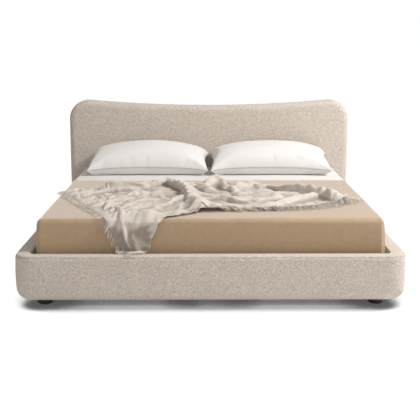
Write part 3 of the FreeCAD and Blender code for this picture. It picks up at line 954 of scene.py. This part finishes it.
def tidyLoose(piece):
    work = bmesh.new()
    work.from_mesh(piece.data)
    bmesh.ops.delete(work, geom=[v for v in work.verts if not v.link_faces], context="VERTS")
    work.to_mesh(piece.data)
    work.free()


def faceUpOut(piece):
    # an open shell: make its faces agree, with the highest one looking up
    work = bmesh.new()
    work.from_mesh(piece.data)
    bmesh.ops.recalc_face_normals(work, faces=work.faces)
    top = max(work.faces, key=lambda f: f.calc_center_median().z)
    if top.normal.z < 0:
        bmesh.ops.reverse_faces(work, faces=work.faces)
    work.to_mesh(piece.data)
    work.free()
    smooth(piece)


def makeFittedSheet():
    low, high = Vector(sheetLow), Vector(sheetHigh)

    def place(p):
        way = outward(p, low, high)
        rise = (p.z - low.z) / (high.z - low.z)
        swell = 0.007 * math.sin(math.pi * min(1, max(0, rise))) ** 0.7
        deep = beddingCut["seamDeep"] + 0.0015
        seam = -deep * math.exp(-(cornerAway(p, low, high) / (beddingCut["seamWide"] * 2)) ** 2)
        hidden = 1.0 if p.y > hemLine + 0.004 else 0.0
        wave = 0.0018 * (wobble(p, 0.16, 5.4) + 0.5 * wobble((p.x * 2.2, p.y, p.z), 0.09, 2.9)) * hidden
        gather = 0.0035 * math.sin(p.x * 210 + p.y * 190) * max(0, 1 - rise * 6)
        q = p + way * (swell * hidden + seam * hidden + wave * hidden + gather)
        if rise > 0.9:
            q.z += wave - 0.0008
        return q

    points, faces, flat = beddingShell(low, high, low.z, 0.12, place)
    cloth = meshObject("fittedSheet", points, faces)
    flatMap(cloth, flat, low, high)
    faceUpOut(cloth)
    addModifier(cloth, "SOLIDIFY", thickness=0.0012, offset=-1)
    applyAll(cloth)
    dress(cloth, materials["white_cotton"], "mattress", ["fitted_sheet"])
    return cloth


weltCut = {"stand": 0.0035, "every": 0.010, "length": 0.0125, "thickness": 0.0019, "hemGap": 0.045,
           "followX": 0.42, "followY": 0.16}


def makeCornerSeams():
    # the coverlet's two foot corners are sewn upright, with the edges standing out as a fine welt
    marks = []
    reach = beddingCut["corner"] * (1 - 1 / math.sqrt(2))
    tall = spreadHigh.z - spreadLow.z
    for side in (-1, 1):
        x = (spreadHigh.x - reach - weltCut["stand"]) * side
        for z in between(spreadLow.z + 0.004, spreadHigh.z - weltCut["hemGap"], weltCut["every"]):
            swell = beddingCut["sideBulge"] * math.sin(math.pi * (z - spreadLow.z) / tall) ** 0.7
            place = Vector((x + side * swell * weltCut["followX"],
                            spreadLow.y + reach + weltCut["stand"] - swell * weltCut["followY"], z))
            marks.append((place, Vector((0, 0, 1))))
    seams = layThreads("coverletSeams", marks, Length=weltCut["length"], Thickness=weltCut["thickness"],
                       Sway=0.0, Roll=0.0, Uneven=0.0,
                       Sides=6, Seed=2, Yarn=seamMaterial)
    dress(seams, seamMaterial, "mattress")
    return seams


seamMaterial = softMaterial("coverletSeam", (0.22, 0.145, 0.082, 1), (0.16, 0.10, 0.055, 1), 1200.0, 0.0005)
coverlet = makeCoverlet()
makeCornerSeams()
fittedSheet = makeFittedSheet()
print("coverlet and sheet ready")


# cloth simulation, run on the spot and applied

def runCloth(piece, frames, blockers=(), **settings):
    for blocker in blockers:
        blocker.modifiers.new("Collision", "COLLISION")
        blocker.collision.thickness_outer = 0.004
        blocker.collision.thickness_inner = 0.02
        blocker.collision.cloth_friction = settings.get("friction", 12.0)
        blocker.collision.use_culling = False
    cloth = piece.modifiers.new("Cloth", "CLOTH")
    cloth.point_cache.frame_start, cloth.point_cache.frame_end = 1, frames
    setup, hits = cloth.settings, cloth.collision_settings
    setup.quality = settings.get("quality", 7)
    setup.mass = settings.get("mass", 0.25)
    setup.tension_stiffness = setup.compression_stiffness = settings.get("tension", 15.0)
    setup.shear_stiffness = settings.get("shear", 5.0)
    setup.bending_stiffness = settings.get("bending", 0.5)
    setup.tension_damping = setup.compression_damping = settings.get("damping", 5.0)
    setup.shear_damping = settings.get("damping", 5.0)
    setup.air_damping = settings.get("air", 1.0)
    setup.effector_weights.gravity = settings.get("gravity", 1.0)
    if settings.get("pressure"):
        setup.use_pressure = True
        setup.uniform_pressure_force = settings["pressure"]
    if settings.get("shrink"):
        setup.shrink_min = setup.shrink_max = settings["shrink"]
    if settings.get("holdGroup"):
        setup.vertex_group_mass = settings["holdGroup"]
        setup.pin_stiffness = 1.0
    if settings.get("slackGroup"):
        setup.vertex_group_shrink = settings["slackGroup"]
        setup.shrink_min, setup.shrink_max = settings["slackRange"]
    hits.use_collision = bool(blockers)
    hits.collision_quality = 3
    hits.distance_min = settings.get("distance", 0.003)
    hits.use_self_collision = settings.get("selfHits", False)
    hits.self_distance_min = settings.get("selfDistance", 0.004)
    hits.self_friction = 8.0
    for number in range(1, frames + 1):
        scene.frame_set(number)
    graph = bpy.context.evaluated_depsgraph_get()
    mesh = bpy.data.meshes.new_from_object(piece.evaluated_get(graph))
    piece.modifiers.clear()
    piece.data = mesh
    for blocker in blockers:
        blocker.modifiers.clear()
    scene.frame_set(1)
    smooth(piece)


def blockerBox(name, low, high, rounding):
    work = bmesh.new()
    bmesh.ops.create_cube(work, size=1.0)
    for v in work.verts:
        v.co = Vector([low[k] if v.co[k] < 0 else high[k] for k in range(3)])
    bmesh.ops.bevel(work, geom=work.edges, offset=rounding, segments=4, profile=0.5, affect="EDGES")
    mesh = bpy.data.meshes.new(name)
    work.to_mesh(mesh)
    work.free()
    block = bpy.data.objects.new(name, mesh)
    scene.collection.objects.link(block)
    return block


def dropBlockers(blocks):
    for block in blocks:
        bpy.data.objects.remove(block, do_unlink=True)


# pillows: a crowned bag with a knife-edge seam, then blown up a little by simulation

pillowCut = {
    "countX": 72, "countY": 40, "seamFront": 0.054, "seamBack": 0.112, "cornerFront": 0.025,
    "cornerBack": 0.008,
    "top": 0.121, "under": 0.135, "pinchLong": 0.017, "pinchShort": 0.015, "fullX": 0.50, "fullY": 0.46,
    "frames": 14, "pressure": 2.6, "slack": -0.03, "cap": 0.010, "lip": 0.0019,
}


def pillowPoint(u, v, side, half, seed):
    # u and v run from -1 to 1; side is 1 on the upper panel and -1 on the lower one
    cut = pillowCut
    x = half[0] * u * (1 - cut["pinchShort"] / half[0] * (1 - v * v))
    y = half[1] * v * (1 - cut["pinchLong"] / half[1] * (1 - u * u) ** 0.8)
    full = max(0.0, 1 - abs(u) ** 2.3) ** cut["fullX"] * max(0.0, 1 - v * v) ** cut["fullY"]
    corner = (u * u * v * v) ** 1.5
    back = (v + 1) / 2
    seam = cut["seamFront"] * (1 - back) + cut["seamBack"] * back
    seam -= corner * (cut["cornerFront"] * (1 - back) + cut["cornerBack"] * back)
    soft = 0.05 * wobble((x, y, seed), 0.30, seed) + 0.022 * wobble((x * 0.6, y, seed), 0.10, seed + 3)
    crease = 0.007 * math.exp(-(abs(abs(u) - abs(v) * 0.8 - 0.25) / 0.05) ** 2)
    crease = crease * abs(v) * (1 if side > 0 else 0)
    height = cut["top"] * (1 + soft) * (1 + 0.05 * v) - crease if side > 0 else cut["under"]
    z = seam + side * height * full
    return Vector((x, y, max(z, 0.0015)))


def pipe(side, line):
    # the sewn edge between the two panels, as a fine rounded lip
    sides, radius, points, faces = 6, pillowCut["lip"], [], []
    middle = sum(line, Vector()) / len(line)
    for k, p in enumerate(line):
        ahead = (line[(k + 1) % len(line)] - line[k - 1]).normalized()
        away = (p - middle)
        away = (away - ahead * away.dot(ahead)).normalized()
        up = ahead.cross(away)
        for turn in range(sides):
            a = 2 * math.pi * turn / sides
            points.append(p + away * (radius * math.cos(a) + 0.0006) + up * radius * 0.7 * math.sin(a))
    for k in range(len(line)):
        for turn in range(sides):
            a, b = k * sides + turn, k * sides + (turn + 1) % sides
            c, d = (k + 1) % len(line) * sides + (turn + 1) % sides, (k + 1) % len(line) * sides + turn
            faces.append((a, b, c, d))
    lip = meshObject("pillowEdge" + side.title(), points, faces)
    faceOut(lip, merge=0)
    dress(lip, edgeMaterial, "pillow_" + side)


edgeMaterial = softMaterial("cottonEdge", (0.50, 0.465, 0.43, 1), (0.40, 0.37, 0.34, 1), 1200.0, 0.0005)


def makePillow(side, seed, turn):
    low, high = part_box("pillow_case_" + side)
    half = ((high.x - low.x) / 2, (high.y - low.y) / 2)
    middle = Vector(((high.x + low.x) / 2, (high.y + low.y) / 2, sheetHigh.z + 0.0005))
    across, deep = pillowCut["countX"], pillowCut["countY"]
    points, faces, numbers = [], [], {}
    spin = math.radians(turn)
    for panel in (1, -1):
        for i in range(across + 1):
            for j in range(deep + 1):
                rim = i in (0, across) or j in (0, deep)
                if rim and panel < 0:
                    numbers[panel, i, j] = numbers[1, i, j]
                    continue
                turn = 2 * i / across - 1
                u = math.sin(turn * math.pi / 2 * 0.999) * 0.35 + turn * 0.65
                v = math.sin((2 * j / deep - 1) * math.pi / 2 * 0.999) * 0.35 + (2 * j / deep - 1) * 0.65
                p = pillowPoint(u, v, panel, half, seed)
                p = Vector((p.x * math.cos(spin) - p.y * math.sin(spin),
                            p.x * math.sin(spin) + p.y * math.cos(spin), p.z))
                numbers[panel, i, j] = len(points)
                points.append(p + middle)
        for i in range(across):
            for j in range(deep):
                corners = [(i, j), (i + 1, j), (i + 1, j + 1), (i, j + 1)]
                face = tuple(numbers[panel, a, b] for a, b in corners)
                faces.append(face if panel > 0 else face[::-1])
    pillow = meshObject("pillow" + side.title(), points, faces)
    layer = pillow.data.uv_layers.new(name="cloth")
    for loop in pillow.data.loops:
        p = points[loop.vertex_index]
        layer.data[loop.index].uv = (p.x, p.y)
    faceOut(pillow, merge=0)
    start = [v.co.copy() for v in pillow.data.vertices]
    runCloth(pillow, pillowCut["frames"], pressure=pillowCut["pressure"], gravity=0.0,
             shrink=pillowCut["slack"], bending=0.25, tension=12.0, quality=6)
    limit = pillowCut["cap"]
    for v, first in zip(pillow.data.vertices, start):
        move = v.co - first
        if move.length > limit:
            v.co = first + move.normalized() * (limit + (move.length - limit) * 0.2)
        v.co.y = min(v.co.y, high.y + 0.004)
        v.co.z = max(v.co.z, sheetHigh.z + 0.0005)
        v.co.x = min(v.co.x, -0.0012) if side == "left" else max(v.co.x, 0.0012)
    loop = ([(i, 0) for i in range(across)] + [(across, j) for j in range(deep)]
            + [(i, deep) for i in range(across, 0, -1)] + [(0, j) for j in range(deep, 0, -1)])
    pipe(side, [pillow.data.vertices[numbers[1, i, j]].co.copy() for i, j in loop])
    sharp = pillow.data.attributes.new("crease_edge", "FLOAT", "EDGE")
    rim = {numbers[1, i, j] for i in range(across + 1) for j in range(deep + 1)
           if i in (0, across) or j in (0, deep)}
    for edge in pillow.data.edges:
        if edge.vertices[0] in rim and edge.vertices[1] in rim:
            sharp.data[edge.index].value = 0.85
    addModifier(pillow, "SUBSURF", levels=1, render_levels=1)
    applyAll(pillow)
    dress(pillow, materials["white_cotton"], "pillow_" + side,
          ["pillow_case_" + side, "pillow_fill_" + side])
    return pillow


pillows = [makePillow("left", 4.3, 0.4), makePillow("right", 11.9, -0.5)]
print("pillows ready")


# throw: a flat rectangle of linen laid diagonally with a few ridges, then left to settle

throwCut = {
    "length": 1.70, "width": 1.30, "step": 0.0158, "frames": 20, "lift": 0.006,
    "shrinkLow": -0.18, "shrinkHigh": 0.02, "tall": 1.30, "fold": 0.020, "pitch": 0.10, "holdEdge": 0.5,
    "holdIn": 0.10, "edgeLift": 0.020,
}
# the four edges on the unrolled bed, as (across, up from the foot edge of the mattress)
throwEdges = {
    "foot": [(-0.365, -0.24), (-0.335, -0.185), (-0.32, -0.11), (-0.29, -0.045), (-0.22, 0.03),
             (-0.12, 0.11),
             (-0.03, 0.18), (0.14, 0.20), (0.36, 0.215), (0.58, 0.26), (0.77, 0.36), (0.93, 0.54)],
    "head": [(-0.955, 0.83), (-0.80, 0.93), (-0.62, 1.01), (-0.42, 1.06), (-0.20, 1.08), (0.06, 1.10)],
    "left": [(-0.365, -0.24), (-0.445, -0.265), (-0.50, -0.20), (-0.545, -0.10), (-0.60, 0.02),
             (-0.69, 0.22), (-0.775, 0.40),
             (-0.87, 0.62), (-0.955, 0.83)],
    "right": [(0.93, 0.54), (0.865, 0.71), (0.73, 0.88), (0.52, 1.00), (0.29, 1.07), (0.06, 1.10)],
}
# fold lines on the unrolled bed, each as (points, height, width on its left, width on its right)
throwRidges = [
    ([(-0.27, 1.05), (-0.21, 0.84), (-0.14, 0.62), (-0.09, 0.37), (-0.06, 0.18)], 0.060, 0.15, 0.035),
    ([(-0.15, 0.66), (-0.23, 0.48), (-0.30, 0.29), (-0.34, 0.04)], 0.045, 0.06, 0.06),
    ([(-0.24, 1.10), (-0.33, 0.90), (-0.48, 0.53), (-0.64, 0.21)], 0.034, 0.08, 0.08),
    ([(-0.33, 1.06), (-0.39, 0.94), (-0.47, 0.82), (-0.66, 0.79)], 0.058, 0.05, 0.06),
    ([(-0.04, 0.88), (0.04, 1.03), (0.10, 0.96), (0.13, 0.72)], 0.044, 0.06, 0.05),
    ([(-0.13, 0.96), (-0.03, 0.84), (0.06, 0.69), (0.22, 0.62), (0.40, 0.55)], 0.056, 0.06, 0.05),
    ([(0.18, 0.86), (0.27, 0.95), (0.42, 0.85), (0.58, 0.81), (0.67, 0.70), (0.82, 0.38)], 0.082, 0.06,
     0.06),
    ([(-0.06, 0.50), (0.09, 0.50), (0.24, 0.36), (0.38, 0.30), (0.50, 0.46), (0.63, 0.60)], 0.064, 0.05,
     0.07),
    ([(0.03, 0.27), (0.26, 0.27), (0.47, 0.33), (0.64, 0.29), (0.79, 0.39)], 0.030, 0.05, 0.05),
    ([(-0.35, 0.15), (-0.38, -0.01), (-0.41, -0.05), (-0.42, -0.17)], 0.030, 0.03, 0.03),
    ([(-0.54, 0.24), (-0.48, -0.01), (-0.47, -0.07), (-0.45, -0.17)], 0.026, 0.035, 0.03),
    ([(-0.63, 0.15), (-0.57, -0.02), (-0.53, -0.10), (-0.48, -0.17)], 0.014, 0.03, 0.03),
]


def alongLine(points, t):
    # a point at share t of the line's length
    lengths = [math.dist(a, b) for a, b in zip(points, points[1:])]
    want = t * sum(lengths)
    for (a, b), length in zip(zip(points, points[1:]), lengths):
        if want <= length or (a, b) == (points[-2], points[-1]):
            f = min(1.0, want / length)
            return (a[0] + (b[0] - a[0]) * f, a[1] + (b[1] - a[1]) * f)
        want -= length
    return points[-1]


def ridgeHeight(p):
    # the tallest of the fold lines near p; the two sides of a fold fall off differently
    height = 0.0
    for line, top, leftWidth, rightWidth in throwRidges:
        best, side = 9.0, 1.0
        for a, b in zip(line, line[1:]):
            dx, dy = b[0] - a[0], b[1] - a[1]
            t = max(0.0, min(1.0, ((p[0] - a[0]) * dx + (p[1] - a[1]) * dy) / (dx * dx + dy * dy)))
            away = math.dist(p, (a[0] + dx * t, a[1] + dy * t))
            if away < best:
                best, side = away, dx * (p[1] - a[1]) - dy * (p[0] - a[0])
        width = leftWidth if side > 0 else rightWidth
        height = max(height, top * math.exp(-(best / width) ** 1.7))
    return height


def foldHeight(u, v, across, up):
    # the drawn folds, then finer ones along the cloth's length that wander and merge
    bent = (across + 0.03 * wobble((across, up, 1.1), 0.22, 4.1),
            up + 0.04 * wobble((across, up, 6.2), 0.22, 7.9))
    wander = 0.10 * wobble((u * 0.7, v * 0.8, 3.1), 0.42, 5.7) + 0.03 * wobble((u, v, 1.3), 0.15, 2.2)
    calm = math.exp(-((across + 0.66) ** 2 + (up - 0.60) ** 2) / 0.26 ** 2)
    wave = 0.5 + 0.5 * math.cos(2 * math.pi * (v + wander) / throwCut["pitch"])
    amount = max(0.0, 0.5 + 0.6 * wobble((u, v, 0.4), 0.20, 3.3)) * (1 - 0.75 * calm)
    small = 0.0022 * (1 + wobble((u, v, 5.0), 0.045, 12.3))
    return ridgeHeight(bent) * throwCut["tall"] + throwCut["fold"] * wave ** 1.5 * amount + small


def unrolled(across, up, height):
    # from the unrolled bed to the real one: past the foot edge the cloth hangs down
    edge, top = spreadLow.y, spreadHigh.z + throwCut["lift"]
    bend = 0.03
    if up >= 0:
        return Vector((across, edge + up, top + height))
    turn = min(1.0, -up / bend) * math.pi / 2
    out = 0.010 + bend * 0.64 * math.sin(turn) * 0.5 + height
    fall = -up - bend * (1 - math.cos(turn)) * 0.36
    lowest = baseHigh.z + 0.008
    slide = max(0.0, lowest - (top - fall))
    return Vector((across, edge - out - slide, top - fall + slide))


def makeThrow():
    cut = throwCut
    countS, countT = round(cut["length"] / cut["step"]), round(cut["width"] / cut["step"])
    points, flat, faces = [], [], []
    for i in range(countS + 1):
        s = i / countS
        foot, head = alongLine(throwEdges["foot"], s), alongLine(throwEdges["head"], s)
        for j in range(countT + 1):
            t = j / countT
            left, right = alongLine(throwEdges["left"], t), alongLine(throwEdges["right"], t)
            spot = []
            for k in (0, 1):
                corner = ((throwEdges["foot"][0][k] * (1 - s) + throwEdges["foot"][-1][k] * s) * (1 - t)
                          + (throwEdges["head"][0][k] * (1 - s) + throwEdges["head"][-1][k] * s) * t)
                spot.append(foot[k] * (1 - t) + head[k] * t + left[k] * (1 - s) + right[k] * s - corner)
            rim = min(1.0, 0.25 + 9 * min(s, 1 - s), 0.25 + 9 * min(t, 1 - t))
            lift = foldHeight(s * cut["length"], t * cut["width"], spot[0], spot[1]) * rim
            turned = max(0.0, 1 - t / 0.035) * min(1.0, max(0.0, (s - 0.36) / 0.08))
            lift += cut["edgeLift"] * turned * (0.75 + 0.5 * wobble((s, 0, 0), 0.07, 6.6))
            points.append(unrolled(spot[0], spot[1], lift))
            flat.append((s * cut["length"], t * cut["width"]))
    rows = countT + 1
    for i in range(countS):
        for j in range(countT):
            a = i * rows + j
            faces.append((a, a + rows, a + rows + 1, a + 1))
    cloth = meshObject("throwCloth", points, faces)
    layer = cloth.data.uv_layers.new(name="cloth")
    for loop in cloth.data.loops:
        layer.data[loop.index].uv = flat[loop.vertex_index]
    smooth(cloth)
    settleThrow(cloth, flat)
    return cloth, countS, countT


def giveSlack(cloth, flat):
    # how much longer the cut cloth is than the laid shape, written as weights for the simulation
    mesh = cloth.data
    laid, cutArea = [0.0] * len(mesh.vertices), [0.0] * len(mesh.vertices)
    for face in mesh.polygons:
        ring = [flat[k] for k in face.vertices]
        true = abs(sum(a[0] * b[1] - b[0] * a[1] for a, b in zip(ring, ring[1:] + ring[:1]))) / 2
        for k in face.vertices:
            laid[k] += face.area
            cutArea[k] += true
    group = cloth.vertex_groups.new(name="slack")
    low, high = throwCut["shrinkLow"], throwCut["shrinkHigh"]
    for k in range(len(laid)):
        longer = math.sqrt(cutArea[k] / laid[k])
        group.add([k], max(0.0, min(1.0, (1 - longer - low) / (high - low))), "REPLACE")


def settleThrow(cloth, flat):
    giveSlack(cloth, flat)
    hold = cloth.vertex_groups.new(name="hold")
    for k, (s, t) in enumerate(flat):
        edge = min(s, throwCut["length"] - s, t, throwCut["width"] - t)
        hold.add([k], throwCut["holdEdge"] if edge < 0.03 else throwCut["holdIn"], "REPLACE")
    top = spreadHigh.z + 0.0015
    blocks = [blockerBox("restMattress", (spreadLow.x - 0.004, spreadLow.y - 0.003, top - 0.22),
                         (spreadHigh.x + 0.004, sheetHigh.y, top), 0.022),
              blockerBox("restRail", (baseLow.x, baseLow.y - 0.004, baseLow.z),
                         (baseHigh.x, baseLow.y + railDepth, baseHigh.z + 0.003), 0.016)]
    runCloth(cloth, throwCut["frames"], blocks, slackGroup="slack",
             slackRange=(throwCut["shrinkLow"], throwCut["shrinkHigh"]), holdGroup="hold",
             selfHits=True, mass=0.22, tension=20.0,
             shear=8.0, bending=1.6, damping=6.0, air=1.0, gravity=0.7, friction=25.0, distance=0.004,
             selfDistance=0.005, quality=6)
    dropBlockers(blocks)


throwCloth, throwAcross, throwUp = makeThrow()
print("throw settled")


def markPaintedFoldShade(piece, rounds, depth):
    # how far each point lies below its surroundings, as the mask for the painted shade in the folds
    mesh = piece.data
    near = [[] for v in mesh.vertices]
    for edge in mesh.edges:
        a, b = edge.vertices
        near[a].append(b)
        near[b].append(a)
    height = [v.co.z - 0.9 * min(0.0, v.co.y - spreadLow.y) for v in mesh.vertices]
    level = height[:]
    for step in range(rounds):
        level = [0.4 * level[k] + 0.6 * sum(level[n] for n in near[k]) / len(near[k])
                 for k in range(len(level))]
    hollow = mesh.attributes.new("hollow", "FLOAT", "POINT")
    for k in range(len(level)):
        hollow.data[k].value = max(0.0, min(1.0, 0.35 + (level[k] - height[k]) / depth))


markPaintedFoldShade(throwCloth, 75, 0.020)

fringeCut = {"every": 0.0032, "length": 0.048, "thickness": 0.0012, "seed": 11, "droop": 0.55,
             "gap": 0.0035,
             "from": 0.40}  # share of the long side that stays bare


def edgeRow(wanted):
    # outer row of the cloth with the row two cells inside it, as pairs of points
    rows = throwUp + 1
    mesh = throwCloth.data
    pairs = []
    if wanted == "left":
        for j in range(rows):
            pairs.append((mesh.vertices[j].co, mesh.vertices[2 * rows + j].co))
    else:
        for i in range(round(throwAcross * fringeCut["from"]), throwAcross + 1):
            pairs.append((mesh.vertices[i * rows].co, mesh.vertices[i * rows + 2].co))
    return pairs


def strandWay(root, inner, k):
    way = (root - inner).normalized()
    length = fringeCut["length"]
    over = root.y < spreadLow.y + 0.012
    if root.z < spreadHigh.z - 0.02 or over:
        sideways = Vector((way.x, -0.12, way.z - fringeCut["droop"]))
        way = sideways.normalized()
        floor = baseHigh.z + fringeCut["gap"] + 0.003
        if root.y < baseLow.y + 0.055:
            way = Vector((way.x * 0.4, -0.9, -0.28)).normalized()
        elif root.z + way.z * length < floor:
            drop = max(-0.95, (floor - root.z) / length)
            flatWay = Vector((way.x, -1.0, 0)).normalized() * math.sqrt(1 - drop * drop)
            way = Vector((flatWay.x, flatWay.y, drop))
    else:
        drop = max(-0.9, min(0.0, (spreadHigh.z + fringeCut["gap"] - root.z) / length))
        level = Vector((way.x, way.y, 0)).normalized()
        way = level * math.sqrt(1 - drop * drop) + Vector((0, 0, drop))
    spread = 0.30
    return (way + Vector((wobble((k * 0.7, 0, 0), 1.0, 2.1), wobble((0, k * 0.7, 0), 1.0, 5.1),
                          0)) * spread).normalized()


def makeFringe():
    marks = []
    for side in ("left", "foot"):
        pairs = edgeRow(side)
        carried = 0.0
        for (a, innerA), (b, innerB) in zip(pairs, pairs[1:]):
            span = (b - a).length
            while carried < span:
                t = carried / span
                root, inner = a.lerp(b, t), innerA.lerp(innerB, t)
                marks.append((root + (inner - root) * 0.12, strandWay(root, inner, len(marks))))
                carried += fringeCut["every"]
            carried -= span
    fringe = layThreads("throwFringe", marks, Length=fringeCut["length"], Thickness=fringeCut["thickness"],
                        Sway=0.012, Roll=6.28, Uneven=0.42, Sides=3, Seed=fringeCut["seed"],
                        Yarn=fringeMaterial)
    dress(fringe, fringeMaterial, "throw", ["throw_fringe"])
    print("fringe strands", len(marks))
    return fringe


fringeMaterial = softMaterial("linenFringe", (0.84, 0.77, 0.69, 1), (0.66, 0.58, 0.50, 1), 900.0, 0.0006)
throwFringe = makeFringe()


def finishThrow():
    addModifier(throwCloth, "SUBSURF", levels=1, render_levels=1)
    addModifier(throwCloth, "SOLIDIFY", thickness=0.0016, offset=0)
    applyAll(throwCloth)
    dress(throwCloth, materials["throw_linen"], "throw", ["throw"])


finishThrow()
print("throw ready")


# floor, light and camera

# reach, glow, dark and open set the floor's glow and its painted shadow from ambient occlusion
floorGlowShadowLook = {"reach": 0.30, "glow": 1.0, "dark": 0.40, "open": 0.61}


def makeStage():
    # white studio floor: glows white for camera rays, with painted shadow where something stands close
    # above it (the glow is dimmed by ambient occlusion); other rays see a plain pale floor
    floor = meshObject("floor", [(-14, -14, 0), (14, -14, 0), (14, 14, 0), (-14, 14, 0)], [(0, 1, 2, 3)])
    material, nodes, links, shader, coords = newMaterial("glowFloorPaintedShadow")
    dust = noiseNode(nodes, links, coords.outputs["Object"], 2.0, 3.0, 0.5)
    tone = mixColour(nodes, links, remap(nodes, links, dust, 0.3, 0.7), (0.80, 0.80, 0.80, 1),
                     (0.83, 0.83, 0.83, 1))
    links.new(tone, shader.inputs["Base Color"])
    setInputs(shader, Roughness=0.9, Specular_IOR_Level=0.1)
    # painted shadow: ambient occlusion darkens the glow under and beside the bed
    near = nodes.new("ShaderNodeAmbientOcclusion")
    near.samples = 20
    near.inputs["Distance"].default_value = floorGlowShadowLook["reach"]
    depth = remap(nodes, links, near.outputs["AO"], floorGlowShadowLook["dark"], floorGlowShadowLook["open"], 0.08, 1.0)
    glow = nodes.new("ShaderNodeEmission")
    both = nodes.new("ShaderNodeMixShader")
    path = nodes.new("ShaderNodeLightPath")
    links.new(mathNode(nodes, links, "MULTIPLY", depth, floorGlowShadowLook["glow"]), glow.inputs["Strength"])
    # the camera sees the glow, with its painted shadow, added to a dim diffuse; this is no highlight
    sheen = nodes.new("ShaderNodeAddShader")
    dim = nodes.new("ShaderNodeBsdfDiffuse")
    dim.inputs["Color"].default_value = (0.12, 0.12, 0.12, 1)
    links.new(glow.outputs[0], sheen.inputs[0])
    links.new(dim.outputs[0], sheen.inputs[1])
    links.new(path.outputs["Is Camera Ray"], both.inputs[0])
    links.new(shader.outputs[0], both.inputs[1])
    links.new(sheen.outputs[0], both.inputs[2])
    end = next(n for n in nodes if n.type == "OUTPUT_MATERIAL")
    links.new(both.outputs[0], end.inputs["Surface"])
    floor.data.materials.append(material)


lights = {
    "key": {"place": (3.5, -1.2, 4.3), "aim": (0, 0.1, 0.4), "size": 1.8, "power": 295},
    "front": {"place": (0.6, -6.5, 2.6), "aim": (0, 0, 0.5), "size": 4.0, "power": 74},
    "sky": {"colour": (1.0, 1.0, 1.0, 1), "strength": 0.46},
}


def makeLights():
    world = bpy.data.worlds.new("paleRoom")
    scene.world = world
    world.use_nodes = True
    nodes, links = world.node_tree.nodes, world.node_tree.links
    nodes.clear()
    out = nodes.new("ShaderNodeOutputWorld")
    seen, given = nodes.new("ShaderNodeBackground"), nodes.new("ShaderNodeBackground")
    seen.inputs["Color"].default_value = given.inputs["Color"].default_value = lights["sky"]["colour"]
    seen.inputs["Strength"].default_value = 1.0
    given.inputs["Strength"].default_value = lights["sky"]["strength"]
    path, mix = nodes.new("ShaderNodeLightPath"), nodes.new("ShaderNodeMixShader")
    links.new(path.outputs["Is Camera Ray"], mix.inputs[0])
    links.new(given.outputs[0], mix.inputs[1])
    links.new(seen.outputs[0], mix.inputs[2])
    links.new(mix.outputs[0], out.inputs["Surface"])
    for name in ("key", "front"):
        look = lights[name]
        lamp = bpy.data.lights.new(name, "AREA")
        lamp.energy, lamp.size = look["power"], look["size"]
        holder = bpy.data.objects.new(name, lamp)
        scene.collection.objects.link(holder)
        holder.location = look["place"]
        aim = Vector(look["aim"]) - holder.location
        holder.rotation_euler = aim.to_track_quat("-Z", "Y").to_euler()
    scene.view_settings.view_transform = "Standard"


cameraLook = {
    "x": -0.0335, "back": 4.6126, "height": 1.4823, "pitch": -9.867, "yaw": -0.357, "lens": 74.59,
    "shift": -0.0476,
}


def makeCamera():
    data = bpy.data.cameras.new("camera")
    camera = bpy.data.objects.new("camera", data)
    scene.collection.objects.link(camera)
    camera.location = (cameraLook["x"], baseLow.y - cameraLook["back"], cameraLook["height"])
    camera.rotation_euler = (math.radians(90 + cameraLook["pitch"]), 0, math.radians(cameraLook["yaw"]))
    data.lens, data.sensor_width, data.shift_y = cameraLook["lens"], 36.0, cameraLook["shift"]
    data.clip_start, data.clip_end = 0.1, 100
    scene.camera = camera


makeStage()
makeLights()
makeCamera()
print("floor, light and camera ready")
